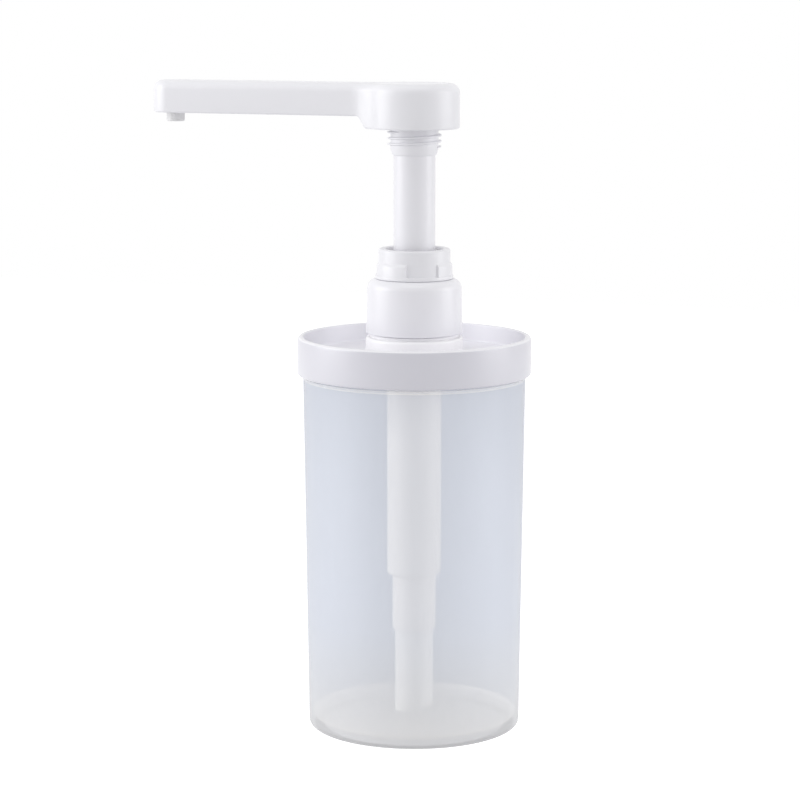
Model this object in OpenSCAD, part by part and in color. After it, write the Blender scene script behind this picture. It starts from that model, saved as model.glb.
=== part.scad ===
// Honey pump bottle: a translucent jar with a screw lid and a hand pump that draws through a dip tube.
// Millimetres, +Z up, origin at the centre of the jar's foot, arm along -X, shown with the pump up.

/* [Jar] */
// Height of the shoulder under the lid
jar_h = 154.5; // [120:0.1:200]
// Outside diameter at the foot
jar_base_d = 92.2; // [86:0.2:96]
// Width of the shoulder outside the mouth
shoulder_w = 2; // [1.6:0.1:3.2]
// Height of the bead round the top of the wall
bead_h = 2; // [1.2:0.1:4]
// How far the bead stands out past the wall
bead_out = 0.4; // [0.2:0.1:0.8]
// Wall of the jar
jar_wall = 1.8; // [1.2:0.1:2.6]
// Thickness of the floor
jar_floor_t = 2.4; // [1.6:0.1:4]
// Height of the hollow under the floor
foot_h = 1.6; // [0.8:0.1:3]
// Width of the ring that the jar stands on
foot_w = 4.5; // [3:0.1:8]
// Radius of the outer corner at the foot
foot_r = 2.4; // [1:0.1:4]
// Diameter of the mouth at the root of its thread
mouth_d = 92; // [88:0.2:110]
// Height of the mouth above the shoulder
mouth_h = 5.9; // [5.8:0.1:14]
// Wall of the mouth
mouth_wall = 2.2; // [1.6:0.1:3]
// Height of the mouth's thread ridge
mouth_ridge = 1.5; // [1:0.1:2]
// Pitch of the lid's thread
lid_pitch = 3; // [2.6:0.1:3]

/* [Lid] */
// Wall of the skirt
lid_wall = 2.4; // [1.4:0.1:3]
// Thickness of the dish's floor
lid_floor_t = 2; // [1.4:0.1:3]
// Depth of the dish inside the rim
dish_depth = 7.9; // [3:0.1:12]
// Gap between the skirt and the jar's shoulder
lid_gap = 0.8; // [0.4:0.1:1.2]
// Radius of the rim's outer edge
rim_r = 1.3; // [0.6:0.1:1.6]
// Thickness of the lid gasket
lid_gasket_t = 1.2; // [0.8:0.1:2]
// How far the boss stands out past the closure
boss_lip = 0.5; // [0.1:0.1:3]
// Height of the boss above the dish
boss_h = 7.9; // [3:0.1:12]
// Radius of the boss's top edge
boss_r = 1.4; // [0.6:0.1:2.4]
// Depth of the groove between the boss and the closure
groove_depth = 1.3; // [0.6:0.1:1.8]
// Gap between the closure and the step inside the groove
groove_gap = 0.3; // [0.2:0.05:0.6]
// Height of the neck above the boss
neck_h = 19.1; // [17:0.1:26]
// Wall of the neck
neck_wall = 1.9; // [1.4:0.1:3]
// Gap between the neck's bore and the barrel
neck_clear = 1.2; // [0.5:0.1:3]
// Height of the neck's thread ridge
neck_ridge = 1.2; // [0.8:0.1:1.6]
// Pitch of the closure's thread
neck_pitch = 3.2; // [2.8:0.1:4]
// Turns of thread on the neck
neck_turns = 2.2; // [1.5:0.1:3]

/* [Closure] */
// Wall of the closure
closure_wall = 2.2; // [1.4:0.1:3]
// Thickness of its top
closure_top_t = 2.5; // [1.6:0.1:4]
// Radius of its shoulder
closure_r = 4.2; // [2:0.1:4.4]
// Gap between the closure and the boss
closure_gap = 1.5; // [0.8:0.1:3]
// Thickness of the neck gasket
neck_gasket_t = 1.2; // [0.8:0.1:2]

/* [Collar] */
// Height of the collar above the closure
collar_h = 12.8; // [11:0.1:18]
// Wall outside the lock thread
collar_wall = 3.35; // [2:0.05:5]
// Height of the lower tier, with the lugs
lug_h = 7; // [5:0.1:9]
// How far the lugs stand out past the upper tier
lug_out = 0.9; // [0.4:0.1:2]
// How far the bottom ring stands out past the lugs
ring_out = 0.4; // [0.2:0.1:1.2]
// Height of the bottom ring
ring_h = 1.6; // [1:0.1:2.4]
// Number of recessed panels between the lugs
panels = 3; // [2:1:5]
// Width of a panel in degrees
panel_angle = 51; // [20:1:60]
// Direction of the panel on the front, in degrees from +X
panel_at = -57; // [-180:1:180]
// Depth of the lock thread's cup
cup_depth = 10.8; // [8:0.1:11]
// Height of the stem seal
stem_seal_h = 2.5; // [1.6:0.1:5]

/* [Barrel] */
// Wall of the barrel
barrel_wall = 1.5; // [1:0.1:2.4]
// Length of the barrel below its bell
barrel_len = 114; // [104:0.5:130]
// Radial step from the stem to the barrel's bore
bore_step = 1.25; // [0.8:0.05:3]
// Radial step from the bore to the bell
bell_step = 1.75; // [1:0.05:3]
// Depth of the bell that holds the collar's plug
bell_depth = 13.1; // [9:0.1:16]
// Thickness of the barrel's flange
flange_t = 2; // [1.4:0.1:3]
// Outside diameter of the valve section
valve_d = 18.9; // [18.5:0.1:20]
// Length of the valve section
valve_len = 24.5; // [20:0.1:34]
// Thickness of the barrel's floor above the valve section
barrel_floor_t = 2.6; // [1.6:0.1:4]
// Height from the valve seat to the barrel's floor
seat_drop = 8.5; // [7.6:0.1:10]
// Wall round the inlet valve
valve_wall = 1.8; // [1.2:0.1:2.4]
// Thickness of the web that has the valve seat
seat_web = 1.2; // [0.8:0.1:2]
// Diameter of the air hole that the piston uncovers
vent_d = 1.8; // [1:0.1:3]
// Outside diameter of the dip tube
tube_d = 16.7; // [15:0.1:17]
// Wall of the dip tube
tube_wall = 1.2; // [0.8:0.1:2]
// Least gap between the dip tube and the jar's floor
tube_gap = 1.2; // [0.8:0.1:6]
// Slant of the dip tube's cut end in degrees
tube_slant = 10; // [0:1:30]

/* [Plunger] */
// Travel of the pump
stroke = 38.5; // [20:0.5:44]
// Outside diameter of the stem
stem_d = 18; // [16:0.1:20]
// Bore of the stem
stem_bore_d = 12; // [11.4:0.1:12.6]
// Height of the piston
piston_h = 11.9; // [8:0.1:14]
// Radial depth of the stem's seat for the piston
piston_step = 1.4; // [1:0.1:1.6]
// Thickness of the stem foot's flange
foot_flange_t = 3; // [2:0.1:4]
// Length of the stem foot's plug
foot_plug_h = 6.2; // [4:0.1:8]
// Diameter of the outlet valve ball
upper_ball_d = 9.6; // [9:0.1:10.4]
// Diameter of the inlet valve ball
lower_ball_d = 12; // [11:0.1:12.6]
// Lift of both valve balls
ball_lift = 3; // [2:0.1:4]
// Wire of the return spring
spring_wire = 1.4; // [1:0.1:1.6]
// Turns of the return spring
spring_turns = 14; // [8:0.5:18]

/* [Head] */
// Height of the hub
hub_h = 19.2; // [16:0.1:24]
// Diameter of the hub
hub_d = 38.8; // [32:0.1:46]
// Distance from the stem to the nozzle
reach = 112; // [70:0.5:130]
// Width of the arm
arm_w = 19; // [16:0.1:22]
// Depth of the arm
arm_h = 14; // [12:0.1:15]
// Radius of the blend between the arm and the hub
arm_blend = 20; // [6:0.5:30]
// Radius of the top edge
head_r = 4; // [2:0.1:4.2]
// Radius of the bottom edge
head_under_r = 0.8; // [0.3:0.1:1.2]
// Thickness of the top cover
cover_t = 2.2; // [1.4:0.1:3]
// Width of the edge left outside the cover
cover_edge = 4.5; // [4.3:0.1:4.9]
// Thickness of the arm's floor
arm_floor_t = 3; // [2:0.1:4]
// Width of the flow channel
channel_w = 6; // [4:0.1:6.4]
// Length of the lock thread below the hub
lock_h = 11.2; // [9:0.1:16]
// Wall between the stem and the lock thread
lock_wall = 1.3; // [1:0.05:2]
// Length of the tapered lead below the lock thread
lock_lead = 2.6; // [1:0.1:3.4]
// Wall at the lead's thin end
lead_wall = 0.6; // [0.4:0.05:0.9]
// Height of the lock thread's ridge
lock_ridge = 1.35; // [0.8:0.05:1.6]
// Pitch of the lock thread
lock_pitch = 2.5; // [2.2:0.1:3]
// Gap between the lock thread and the collar with the pump down
lock_gap = 1.6; // [0.8:0.1:4]
// Outside diameter of the nozzle
nozzle_d = 8; // [6.5:0.1:10]
// Bore of the nozzle
nozzle_bore_d = 5.6; // [4:0.1:5.8]
// Length of the nozzle below the arm
nozzle_h = 4; // [2:0.1:10]

/* [Fits] */
// Radial clearance of a running fit
run_clear = 0.06; // [0.02:0.01:0.1]
// Gap between faces that seat on each other
seat_gap = 0.1; // [0.05:0.05:0.2]
// Radial clearance between thread crest and root
thread_clear = 0.5; // [0.4:0.05:0.7]

/* [Hidden] */
$fn = 96;
white = [0.95, 0.95, 0.96];
natural = [0.93, 0.93, 0.91];
seal_grey = [0.86, 0.87, 0.88];

// Radii, from the stem outwards
stem_r = stem_d / 2;
guide_r = stem_r + run_clear;
bore_r = stem_r + bore_step;
barrel_r = bore_r + barrel_wall;
bell_r = bore_r + bell_step;
bell_out_r = bell_r + barrel_wall;
plug_r = bell_r - run_clear;
closure_hole_r = plug_r + thread_clear;
neck_bore_r = bell_out_r + neck_clear;
neck_r = neck_bore_r + neck_wall;
neck_crest_r = neck_r + neck_ridge;
closure_in_r = neck_crest_r + thread_clear;
closure_out_r = closure_in_r + closure_wall;
boss_out_r = closure_out_r + boss_lip;
flange_r = neck_r - seat_gap;
lock_r = stem_r + lock_wall;
lock_crest_r = lock_r + lock_ridge;
cup_r = lock_crest_r + thread_clear;
tier_r = cup_r + collar_wall;
lug_r = tier_r + lug_out;
ring_r = lug_r + ring_out;
mouth_r = mouth_d / 2;
mouth_in_r = mouth_r - mouth_wall;
mouth_crest_r = mouth_r + mouth_ridge;
lid_in_r = mouth_crest_r + thread_clear;
lid_r = lid_in_r + lid_wall;
jar_top_r = mouth_r + shoulder_w;
jar_base_r = jar_base_d / 2;

// Heights of the jar and the lid
floor_z = foot_h + jar_floor_t;
mouth_z = jar_h + mouth_h;
lid_gasket_z = mouth_z + seat_gap;
lid_under_z = lid_gasket_z + lid_gasket_t;
dish_z = lid_under_z + lid_floor_t;
rim_z = dish_z + dish_depth;
skirt_z = jar_h + lid_gap;
boss_z = dish_z + boss_h;
neck_z = boss_z + neck_h;

// Heights of the closure and the collar
neck_gasket_z = neck_z + seat_gap;
flange_z = neck_gasket_z + neck_gasket_t;
flange_top_z = flange_z + flange_t;
closure_under_z = flange_top_z + seat_gap;
closure_z = closure_under_z + closure_top_t;
collar_z = closure_z + seat_gap;
collar_top_z = collar_z + collar_h;
cup_z = collar_top_z - cup_depth;

// Heights inside the barrel
bell_z = flange_top_z - bell_depth;
barrel_z = bell_z - barrel_len;
valve_z = barrel_z - valve_len;
bore_z = barrel_z + barrel_floor_t;
seat_z = bore_z - seat_drop;
socket_z = seat_z - seat_web;
plug_z = bell_z + stem_seal_h + seat_gap;

// Heights of the plunger and the head
piston_gap = 0.5;
piston_top_z = bell_z - piston_gap;
piston_z = piston_top_z - piston_h;
stem_foot_z = piston_z - seat_gap;
foot_under_z = stem_foot_z - foot_flange_t;
outlet_seat_z = stem_foot_z + foot_plug_h;
lock_z = collar_top_z + stroke + lock_gap;
hub_z = lock_z + lock_h;
top_z = hub_z + hub_h;
arm_z = top_z - arm_h;
cover_z = top_z - cover_t;
channel_z = arm_z + arm_floor_t;
stem_top_z = channel_z - seat_gap;

// Valve balls on the edges of their seats
upper_r = upper_ball_d / 2;
lower_r = lower_ball_d / 2;
seat_share = 0.7;
outlet_hole_r = upper_r * seat_share;
inlet_hole_r = lower_r * seat_share;
upper_ball_z = outlet_seat_z + sqrt(upper_r ^ 2 - outlet_hole_r ^ 2) + seat_gap;
lower_ball_z = seat_z + sqrt(lower_r ^ 2 - inlet_hole_r ^ 2) + seat_gap;
stop_z = upper_ball_z + upper_r + ball_lift + 2 * seat_gap;
stop_h = 2;
stop_w = 1.8;
stop_sink = 0.6;
inlet_room_r = valve_d / 2 - valve_wall;
cage_z = lower_ball_z + lower_r + ball_lift + 2 * seat_gap;
cage_t = 2;
cage_top_z = cage_z + cage_t;
ball_room = 1;
cage_in_r = lower_r + ball_room;

// Points of an arc round [x, y], for outlines
function arc(x, y, r, from, to, n = 6) =
    [for (i = [0:n]) let (a = from + (to - from) * i / n) [x + r * cos(a), y + r * sin(a)]];

// Solid through a row of rings that each have the same number of points, closed at both ends
module sweep(rings) {
    m = len(rings[0]);
    last = (len(rings) - 1) * m;
    points = [for (ring = rings) each ring];
    walls = [for (k = [0:len(rings) - 2], j = [0:m - 1])
        let (a = k * m + j, b = k * m + (j + 1) % m)
        each [[a, b, b + m], [a, b + m, a + m]]];
    ends = [for (j = [1:m - 2]) each [[0, j + 1, j], [last, last + j, last + j + 1]]];
    polyhedron(points, concat(walls, ends));
}

// Point at a radius, an angle and a height
function polar(r, a, z) = [r * cos(a), r * sin(a), z];

// Ridge of a screw thread on a round wall. A crest inside the wall makes an inner thread.
thread_sink = 0.4;
thread_fade = 30;
fade_start = 0.3;
module thread(wall_r, crest_r, width, pitch, start_z, angles, per_turn = 36) {
    from = angles[0];
    to = angles[1];
    side = crest_r > wall_r ? 1 : -1;
    foot = wall_r - side * thread_sink;
    n = ceil((to - from) / 360 * per_turn);
    sweep([for (i = [0:n])
        let (
            a = from + (to - from) * i / n,
            z = start_z + pitch * a / 360,
            full = min(1, fade_start + (1 - fade_start) * min(a - from, to - a) / thread_fade),
            crest = wall_r + (crest_r - wall_r) * full,
            low = [polar(foot, a, z - side * width / 2), polar(crest, a, z - side * width / 4)],
            high = [polar(crest, a, z + side * width / 4), polar(foot, a, z + side * width / 2)]
        )
        concat(low, high)]);
}

// Widths and starts of the threads. The inner ridge of a pair runs half a pitch above the outer one.
ridge_share = 0.4;
lock_share = 0.5;
mouth_ridge_w = lid_pitch * ridge_share;
mouth_start_z = jar_h + mouth_ridge_w + lid_gap / 2;
mouth_thread = [0, 396];
lid_thread = [-150, 200];
neck_ridge_w = neck_pitch * ridge_share;
neck_thread_up = 5;
neck_start_z = boss_z + neck_thread_up;
lock_w = lock_pitch * lock_share;
lock_start_z = lock_z + lock_lead + lock_w / 2;
lock_turns = (hub_z - lock_w - lock_start_z) / lock_pitch;
cup_turns = (cup_depth - 2 * lock_w) / lock_pitch - 1;

module jar() {
    in_r = jar_top_r - jar_wall;
    base_in_r = jar_base_r - jar_wall;
    floor_r = 2;
    edge_r = 0.6;
    bead_edge = 0.5;
    bead_r = jar_top_r + bead_out;
    bead_z = jar_h - bead_h;
    foot_in_r = jar_base_r - foot_r - foot_w;
    cone_z = jar_h - mouth_wall;
    color([0.82, 0.88, 0.93, 0.55]) {
        rotate_extrude()
            polygon(concat(
                [[0, foot_h], [foot_in_r - foot_h, foot_h], [foot_in_r, 0]],
                arc(jar_base_r - foot_r, foot_r, foot_r, -90, 0),
                [[jar_top_r, bead_z - bead_out]],
                arc(bead_r - bead_edge, bead_z + bead_edge, bead_edge, -45, 0, 3),
                arc(bead_r - bead_edge, jar_h - bead_edge, bead_edge, 0, 90),
                [[mouth_r, jar_h]],
                arc(mouth_r - edge_r, mouth_z - edge_r, edge_r, 0, 90),
                arc(mouth_in_r + edge_r, mouth_z - edge_r, edge_r, 90, 180),
                [[mouth_in_r, cone_z], [in_r, cone_z - (in_r - mouth_in_r)]],
                arc(base_in_r - floor_r, floor_z + floor_r, floor_r, 0, -90),
                [[0, floor_z]]
            ));
        thread(mouth_r, mouth_crest_r, mouth_ridge_w, lid_pitch, mouth_start_z, mouth_thread, 48);
    }
}

module ring(in_r, out_r, z, h) {
    rotate_extrude()
        translate([in_r, z])
            square([out_r - in_r, h]);
}

module lid_gasket() {
    color(seal_grey)
        ring(mouth_in_r, mouth_crest_r, lid_gasket_z, lid_gasket_t);
}

module lid() {
    skirt_r = 0.6;
    fillet = 1;
    rim_step = 0.2;
    rim_in_r = lid_in_r - rim_step;
    inner_r = 0.6;
    step_r = closure_out_r - groove_depth;
    step_z = boss_z + closure_gap - groove_gap;
    edge_r = min(boss_r, boss_out_r - step_r);
    color(white) {
        rotate_extrude()
            polygon(concat(
                [[lid_in_r, skirt_z]],
                arc(lid_r - skirt_r, skirt_z + skirt_r, skirt_r, -90, 0),
                arc(lid_r - rim_r, rim_z - rim_r, rim_r, 0, 90),
                arc(rim_in_r + inner_r, rim_z - inner_r, inner_r, 90, 180),
                arc(rim_in_r - fillet, dish_z + fillet, fillet, 0, -90),
                arc(boss_out_r + fillet, dish_z + fillet, fillet, 270, 180),
                arc(boss_out_r - edge_r, boss_z - edge_r, edge_r, 0, 90),
                [[step_r, boss_z], [step_r, step_z], [neck_r, step_z], [neck_r, neck_z], [neck_bore_r, neck_z]],
                [[neck_bore_r, lid_under_z], [lid_in_r, lid_under_z]]
            ));
        thread(lid_in_r, mouth_r + thread_clear, mouth_ridge_w, lid_pitch,
            mouth_start_z + lid_pitch / 2, lid_thread, 48);
        thread(neck_r, neck_crest_r, neck_ridge_w, neck_pitch, neck_start_z, [0, 360 * neck_turns]);
    }
}

module closure() {
    edge_r = 0.6;
    color(white) {
        rotate_extrude()
            polygon(concat(
                [[closure_in_r, boss_z + closure_gap]],
                arc(closure_out_r - edge_r, boss_z + closure_gap + edge_r, edge_r, -90, 0, 4),
                arc(closure_out_r - closure_r, closure_z - closure_r, closure_r, 0, 90, 8),
                [[closure_hole_r, closure_z], [closure_hole_r, closure_under_z]],
                [[closure_in_r, closure_under_z]]
            ));
        thread(closure_in_r, neck_r + thread_clear, neck_ridge_w, neck_pitch,
            neck_start_z + neck_pitch / 2, [0, 360 * neck_turns]);
    }
}

module neck_gasket() {
    color(seal_grey)
        ring(bell_out_r + seat_gap, flange_r, neck_gasket_z, neck_gasket_t);
}

module barrel() {
    chamfer = 1.2;
    tube_r = tube_d / 2 + run_clear;
    valve_r = valve_d / 2;
    bell_foot_z = bell_z - barrel_wall;
    color(white)
        difference() {
            rotate_extrude()
                polygon([
                    [bell_r, flange_top_z], [flange_r, flange_top_z], [flange_r, flange_z],
                    [bell_out_r, flange_z], [bell_out_r, bell_foot_z],
                    [barrel_r, bell_foot_z - (bell_out_r - barrel_r)],
                    [barrel_r, barrel_z + chamfer], [barrel_r - chamfer, barrel_z], [valve_r, barrel_z],
                    [valve_r, valve_z + chamfer / 2], [valve_r - chamfer / 2, valve_z],
                    [tube_r, valve_z], [tube_r, socket_z], [inlet_hole_r, socket_z], [inlet_hole_r, seat_z],
                    [inlet_room_r, seat_z + inlet_room_r - inlet_hole_r], [inlet_room_r, bore_z],
                    [bore_r, bore_z], [bore_r, bell_z], [bell_r, bell_z]
                ]);
            translate([0, 0, piston_z + piston_h / 2])
                rotate([0, 90, 0])
                    cylinder(d = vent_d, h = 2 * barrel_r);
        }
}

module collar() {
    edge_r = 0.8;
    lug_z = collar_z + lug_h;
    panel_r = tier_r - seat_gap;
    cup_in_r = lock_r + thread_clear;
    color(white) {
        difference() {
            rotate_extrude()
                polygon(concat(
                    [[guide_r, plug_z], [plug_r, plug_z], [plug_r, collar_z]],
                    [[ring_r, collar_z], [ring_r, collar_z + ring_h], [lug_r, collar_z + ring_h]],
                    [[lug_r, lug_z - lug_out], [tier_r, lug_z]],
                    arc(tier_r - edge_r, collar_top_z - edge_r, edge_r, 0, 90, 4),
                    [[cup_r, collar_top_z], [cup_r, cup_z], [guide_r, cup_z]]
                ));
            for (k = [0:panels - 1])
                rotate([0, 0, panel_at - panel_angle / 2 + k * 360 / panels])
                    rotate_extrude(angle = panel_angle)
                        translate([panel_r, collar_z + ring_h])
                            square([ring_r - panel_r + 1, lug_h]);
        }
        thread(cup_r, cup_in_r, lock_w, lock_pitch, cup_z + lock_w, [0, 360 * cup_turns], 30);
    }
}

module stem_seal() {
    color(seal_grey)
        ring(guide_r, plug_r, bell_z, stem_seal_h);
}

module ball_cage() {
    out_r = bore_r - run_clear;
    bar = 2.4;
    color(natural) {
        ring(cage_in_r, out_r, bore_z, cage_top_z - bore_z);
        for (a = [0, 90])
            rotate([0, 0, a])
                translate([-cage_in_r - 1, -bar / 2, cage_z])
                    cube([2 * cage_in_r + 2, bar, cage_t]);
    }
}

module lower_ball() {
    color("silver")
        translate([0, 0, lower_ball_z])
            sphere(d = lower_ball_d);
}

module dip_tube() {
    r = tube_d / 2;
    end_z = floor_z + tube_gap;
    cut = 2 * tube_d;
    color([0.9, 0.92, 0.94])
        difference() {
            ring(r - tube_wall, r, end_z, socket_z - seat_gap - end_z);
            translate([-r, 0, end_z])
                rotate([0, -tube_slant, 0])
                    translate([-cut / 2, -cut / 2, -cut])
                        cube([2 * cut, cut, cut]);
        }
}

spring_room = 1.3;
spring_r = bore_r - spring_wire / 2 - spring_room;
spring_low_z = cage_top_z + seat_gap + spring_wire / 2;
spring_high_z = foot_under_z - seat_gap - spring_wire / 2;
curl_rings = 8;
wire_sides = 6;
spring_path = [for (i = [0:curl_rings * spring_turns])
    let (t = i / (curl_rings * spring_turns))
    [360 * spring_turns * t, spring_low_z + (spring_high_z - spring_low_z) * t]];
spring_points = [for (p = spring_path) polar(spring_r, p[0], p[1])];
spring_least_gap = min([for (i = [0:len(spring_points) - curl_rings - 1])
    norm(spring_points[i + curl_rings] - spring_points[i])]) - spring_wire;
echo(spring_least_gap = spring_least_gap);

module spring() {
    color("gainsboro")
        sweep([for (p = spring_path)
            [for (j = [0:wire_sides - 1])
                let (b = 360 * j / wire_sides)
                polar(spring_r + spring_wire / 2 * cos(b), p[0], p[1] + spring_wire / 2 * sin(b))]]);
}

module piston() {
    in_r = stem_r - piston_step + run_clear;
    out_r = bore_r - run_clear;
    waist = 0.6;
    waist_r = out_r - waist;
    lip_h = 1.6;
    lip_w = 0.7;
    groove = 2;
    slope = lip_h + 2 * waist;
    groove_in_r = out_r - 2 * lip_w;
    groove_end_r = out_r - 1.5 * lip_w;
    color(natural)
        rotate_extrude()
            polygon([
                [in_r, piston_z], [groove_in_r, piston_z], [groove_end_r, piston_z + groove],
                [out_r - lip_w, piston_z], [out_r, piston_z], [out_r, piston_z + lip_h],
                [waist_r, piston_z + slope], [waist_r, piston_top_z - slope],
                [out_r, piston_top_z - lip_h], [out_r, piston_top_z], [out_r - lip_w, piston_top_z],
                [groove_end_r, piston_top_z - groove], [groove_in_r, piston_top_z], [in_r, piston_top_z]
            ]);
}

oring_wire = 1.4;
oring_r = stem_r - oring_wire / 2;
oring_z = lock_z + lock_h / 2;
oring_groove_r = stem_r - oring_wire - run_clear;

module stem() {
    seat_r = stem_r - piston_step;
    bore = stem_bore_d / 2;
    groove_h = oring_wire + 2 * seat_gap;
    color(white) {
        rotate_extrude()
            polygon([
                [bore, piston_z], [seat_r, piston_z], [seat_r, piston_top_z + seat_gap],
                [stem_r, piston_top_z + seat_gap], [stem_r, oring_z - groove_h / 2],
                [oring_groove_r, oring_z - groove_h / 2], [oring_groove_r, oring_z + groove_h / 2],
                [stem_r, oring_z + groove_h / 2], [stem_r, stem_top_z], [bore, stem_top_z]
            ]);
        translate([-bore - stop_sink, -stop_w / 2, stop_z])
            cube([2 * (bore + stop_sink), stop_w, stop_h]);
    }
}

module stem_oring() {
    color(seal_grey)
        translate([0, 0, oring_z])
            rotate_extrude()
                translate([oring_r, 0])
                    circle(d = oring_wire);
}

module stem_foot() {
    flange_out_r = stem_r + 2 * seat_gap;
    plug = stem_bore_d / 2 - run_clear;
    color(natural)
        rotate_extrude()
            polygon([
                [outlet_hole_r, foot_under_z], [flange_out_r, foot_under_z], [flange_out_r, stem_foot_z],
                [plug, stem_foot_z], [plug, outlet_seat_z], [outlet_hole_r, outlet_seat_z]
            ]);
}

module upper_ball() {
    color("silver")
        translate([0, 0, upper_ball_z])
            sphere(d = upper_ball_d);
}

nozzle_step = 0.4;

// Outline of the head, from the arm's end along +Y to the back of the hub and round again
hub_r = hub_d / 2;
tip_r = arm_w / 2;
blend_y = tip_r + arm_blend;
blend_x = -sqrt((hub_r + arm_blend) ^ 2 - blend_y ^ 2);
blend_turn = atan2(-blend_y, -blend_x);
under_inset = 1.3;
under_run = 4.9;
under_near = hub_r - under_inset;
under_far = under_near + under_run;
function half_outline(d) = concat(
    arc(-reach, 0, tip_r - d, 180, 90, 9),
    [for (x = [4, 1]) [blend_x - x, tip_r - d]],
    arc(blend_x, blend_y, arm_blend + d, -90, blend_turn, 12),
    arc(0, 0, hub_r - d, 180 + blend_turn, 0, 14)
);
function mirrored(half) = [for (i = [len(half) - 2:-1:1]) [half[i][0], -half[i][1]]];
function outline(d) = concat(half_outline(d), mirrored(half_outline(d)));

// Height of the underside: level under the arm, dropping to the hub's bottom
function ease(t) = t <= 0 ? 0 : t >= 1 ? 1 : t * t * (3 - 2 * t);
function under_z(x) = hub_z + (arm_z - hub_z) * ease((-x - under_near) / (under_far - under_near));

// Solid through a stack of head outlines. Its ends are closed by strips across the arm.
module head_solid() {
    steps = 6;
    low = [for (i = [0:2])
        let (a = 45 * i, rise = head_under_r * (1 - cos(a)))
        [for (p = outline(head_under_r * (1 - sin(a)))) [p[0], p[1], under_z(p[0]) + rise]]];
    high = [for (i = [0:steps])
        let (a = 90 * i / steps, drop = head_r * (1 - sin(a)))
        [for (p = outline(head_r * (1 - cos(a)))) [p[0], p[1], top_z - drop]]];
    rings = concat(low, high);
    n = len(rings[0]);
    half = len(half_outline(0));
    last = (len(rings) - 1) * n;
    walls = [for (k = [0:len(rings) - 2], i = [0:n - 1])
        let (a = k * n + i, b = k * n + (i + 1) % n)
        each [[a, b, b + n], [a, b + n, a + n]]];
    strips = [for (i = [0:half - 2]) let (d = (n - i) % n, c = n - i - 1)
        each concat(
            i == half - 2 ? [] : [[d, c, i + 1], [last + i, last + i + 1, last + c]],
            i == 0 ? [] : i == half - 2 ? [[d, i + 1, i], [last + i, last + i + 1, last + d]]
                : [[d, i + 1, i], [last + i, last + c, last + d]]
        )];
    polyhedron([for (ring = rings) each ring], concat(walls, strips));
}

module head() {
    socket_r = stem_r + run_clear;
    spigot_r = nozzle_d / 2 - nozzle_step + run_clear;
    into_hub = 1.5;
    over = 1;
    color(white)
        difference() {
            union() {
                head_solid();
                translate([0, 0, lock_z])
                    cylinder(r1 = stem_r + lead_wall, r2 = lock_r, h = lock_lead);
                translate([0, 0, lock_z + lock_lead])
                    cylinder(r = lock_r, h = lock_h - lock_lead + into_hub);
                thread(lock_r, lock_crest_r, lock_w, lock_pitch, lock_start_z, [0, 360 * lock_turns], 30);
            }
            translate([0, 0, lock_z - over])
                cylinder(r = socket_r, h = channel_z - lock_z + over);
            translate([0, 0, cover_z])
                linear_extrude(cover_t + over)
                    polygon(outline(cover_edge));
            translate([-reach, -channel_w / 2, channel_z])
                cube([reach, channel_w, cover_z - channel_z + over / 2]);
            for (x = [-reach, 0])
                translate([x, 0, channel_z - over / 2])
                    cylinder(r = x < 0 ? channel_w / 2 : stem_bore_d / 2, h = cover_z - channel_z + over);
            translate([-reach, 0, arm_z - over])
                cylinder(r = spigot_r, h = arm_floor_t + 2 * over);
        }
}

module head_cover() {
    color(white)
        translate([0, 0, cover_z])
            linear_extrude(cover_t - seat_gap)
                polygon(outline(cover_edge + seat_gap));
}

module nozzle() {
    out_r = nozzle_d / 2;
    bore = nozzle_bore_d / 2;
    spigot = out_r - nozzle_step;
    chamfer = 0.5;
    color(natural)
        translate([-reach, 0, 0])
            rotate_extrude()
                polygon([
                    [bore, arm_z - nozzle_h], [out_r - chamfer, arm_z - nozzle_h],
                    [out_r, arm_z - nozzle_h + chamfer], [out_r, arm_z], [spigot, arm_z],
                    [spigot, channel_z], [bore, channel_z]
                ]);
}

jar();
lid_gasket();
lid();
closure();
neck_gasket();
barrel();
collar();
stem_seal();
ball_cage();
lower_ball();
dip_tube();
spring();
piston();
stem();
stem_foot();
upper_ball();
stem_oring();
head();
head_cover();
nozzle();
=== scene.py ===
"""Honey pump bottle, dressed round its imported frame.

It makes fine meshes, moulded plastic finishes, studio light and the camera of the photograph.
"""

from __future__ import annotations

import logging
import math
from dataclasses import dataclass, field
from enum import Enum, IntEnum
from typing import Callable, Sequence, Union

import bmesh
import bpy
from mathutils import Matrix, Vector


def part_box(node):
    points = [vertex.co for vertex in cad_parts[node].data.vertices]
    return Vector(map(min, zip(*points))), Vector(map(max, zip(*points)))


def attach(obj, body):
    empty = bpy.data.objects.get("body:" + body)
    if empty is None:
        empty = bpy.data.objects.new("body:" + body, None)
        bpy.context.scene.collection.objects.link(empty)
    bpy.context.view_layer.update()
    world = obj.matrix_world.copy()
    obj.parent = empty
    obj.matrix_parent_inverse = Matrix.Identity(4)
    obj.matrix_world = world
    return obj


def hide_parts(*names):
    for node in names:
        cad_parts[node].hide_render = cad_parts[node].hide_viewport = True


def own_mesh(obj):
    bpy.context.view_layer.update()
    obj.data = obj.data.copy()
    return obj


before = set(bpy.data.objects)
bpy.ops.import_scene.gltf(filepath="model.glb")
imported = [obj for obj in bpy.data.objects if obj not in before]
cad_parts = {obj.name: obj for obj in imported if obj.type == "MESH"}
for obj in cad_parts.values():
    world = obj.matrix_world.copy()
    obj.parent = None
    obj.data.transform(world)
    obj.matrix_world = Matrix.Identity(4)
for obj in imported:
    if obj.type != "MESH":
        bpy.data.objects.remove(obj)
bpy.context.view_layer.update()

log = logging.getLogger("honey_pump")

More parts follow.
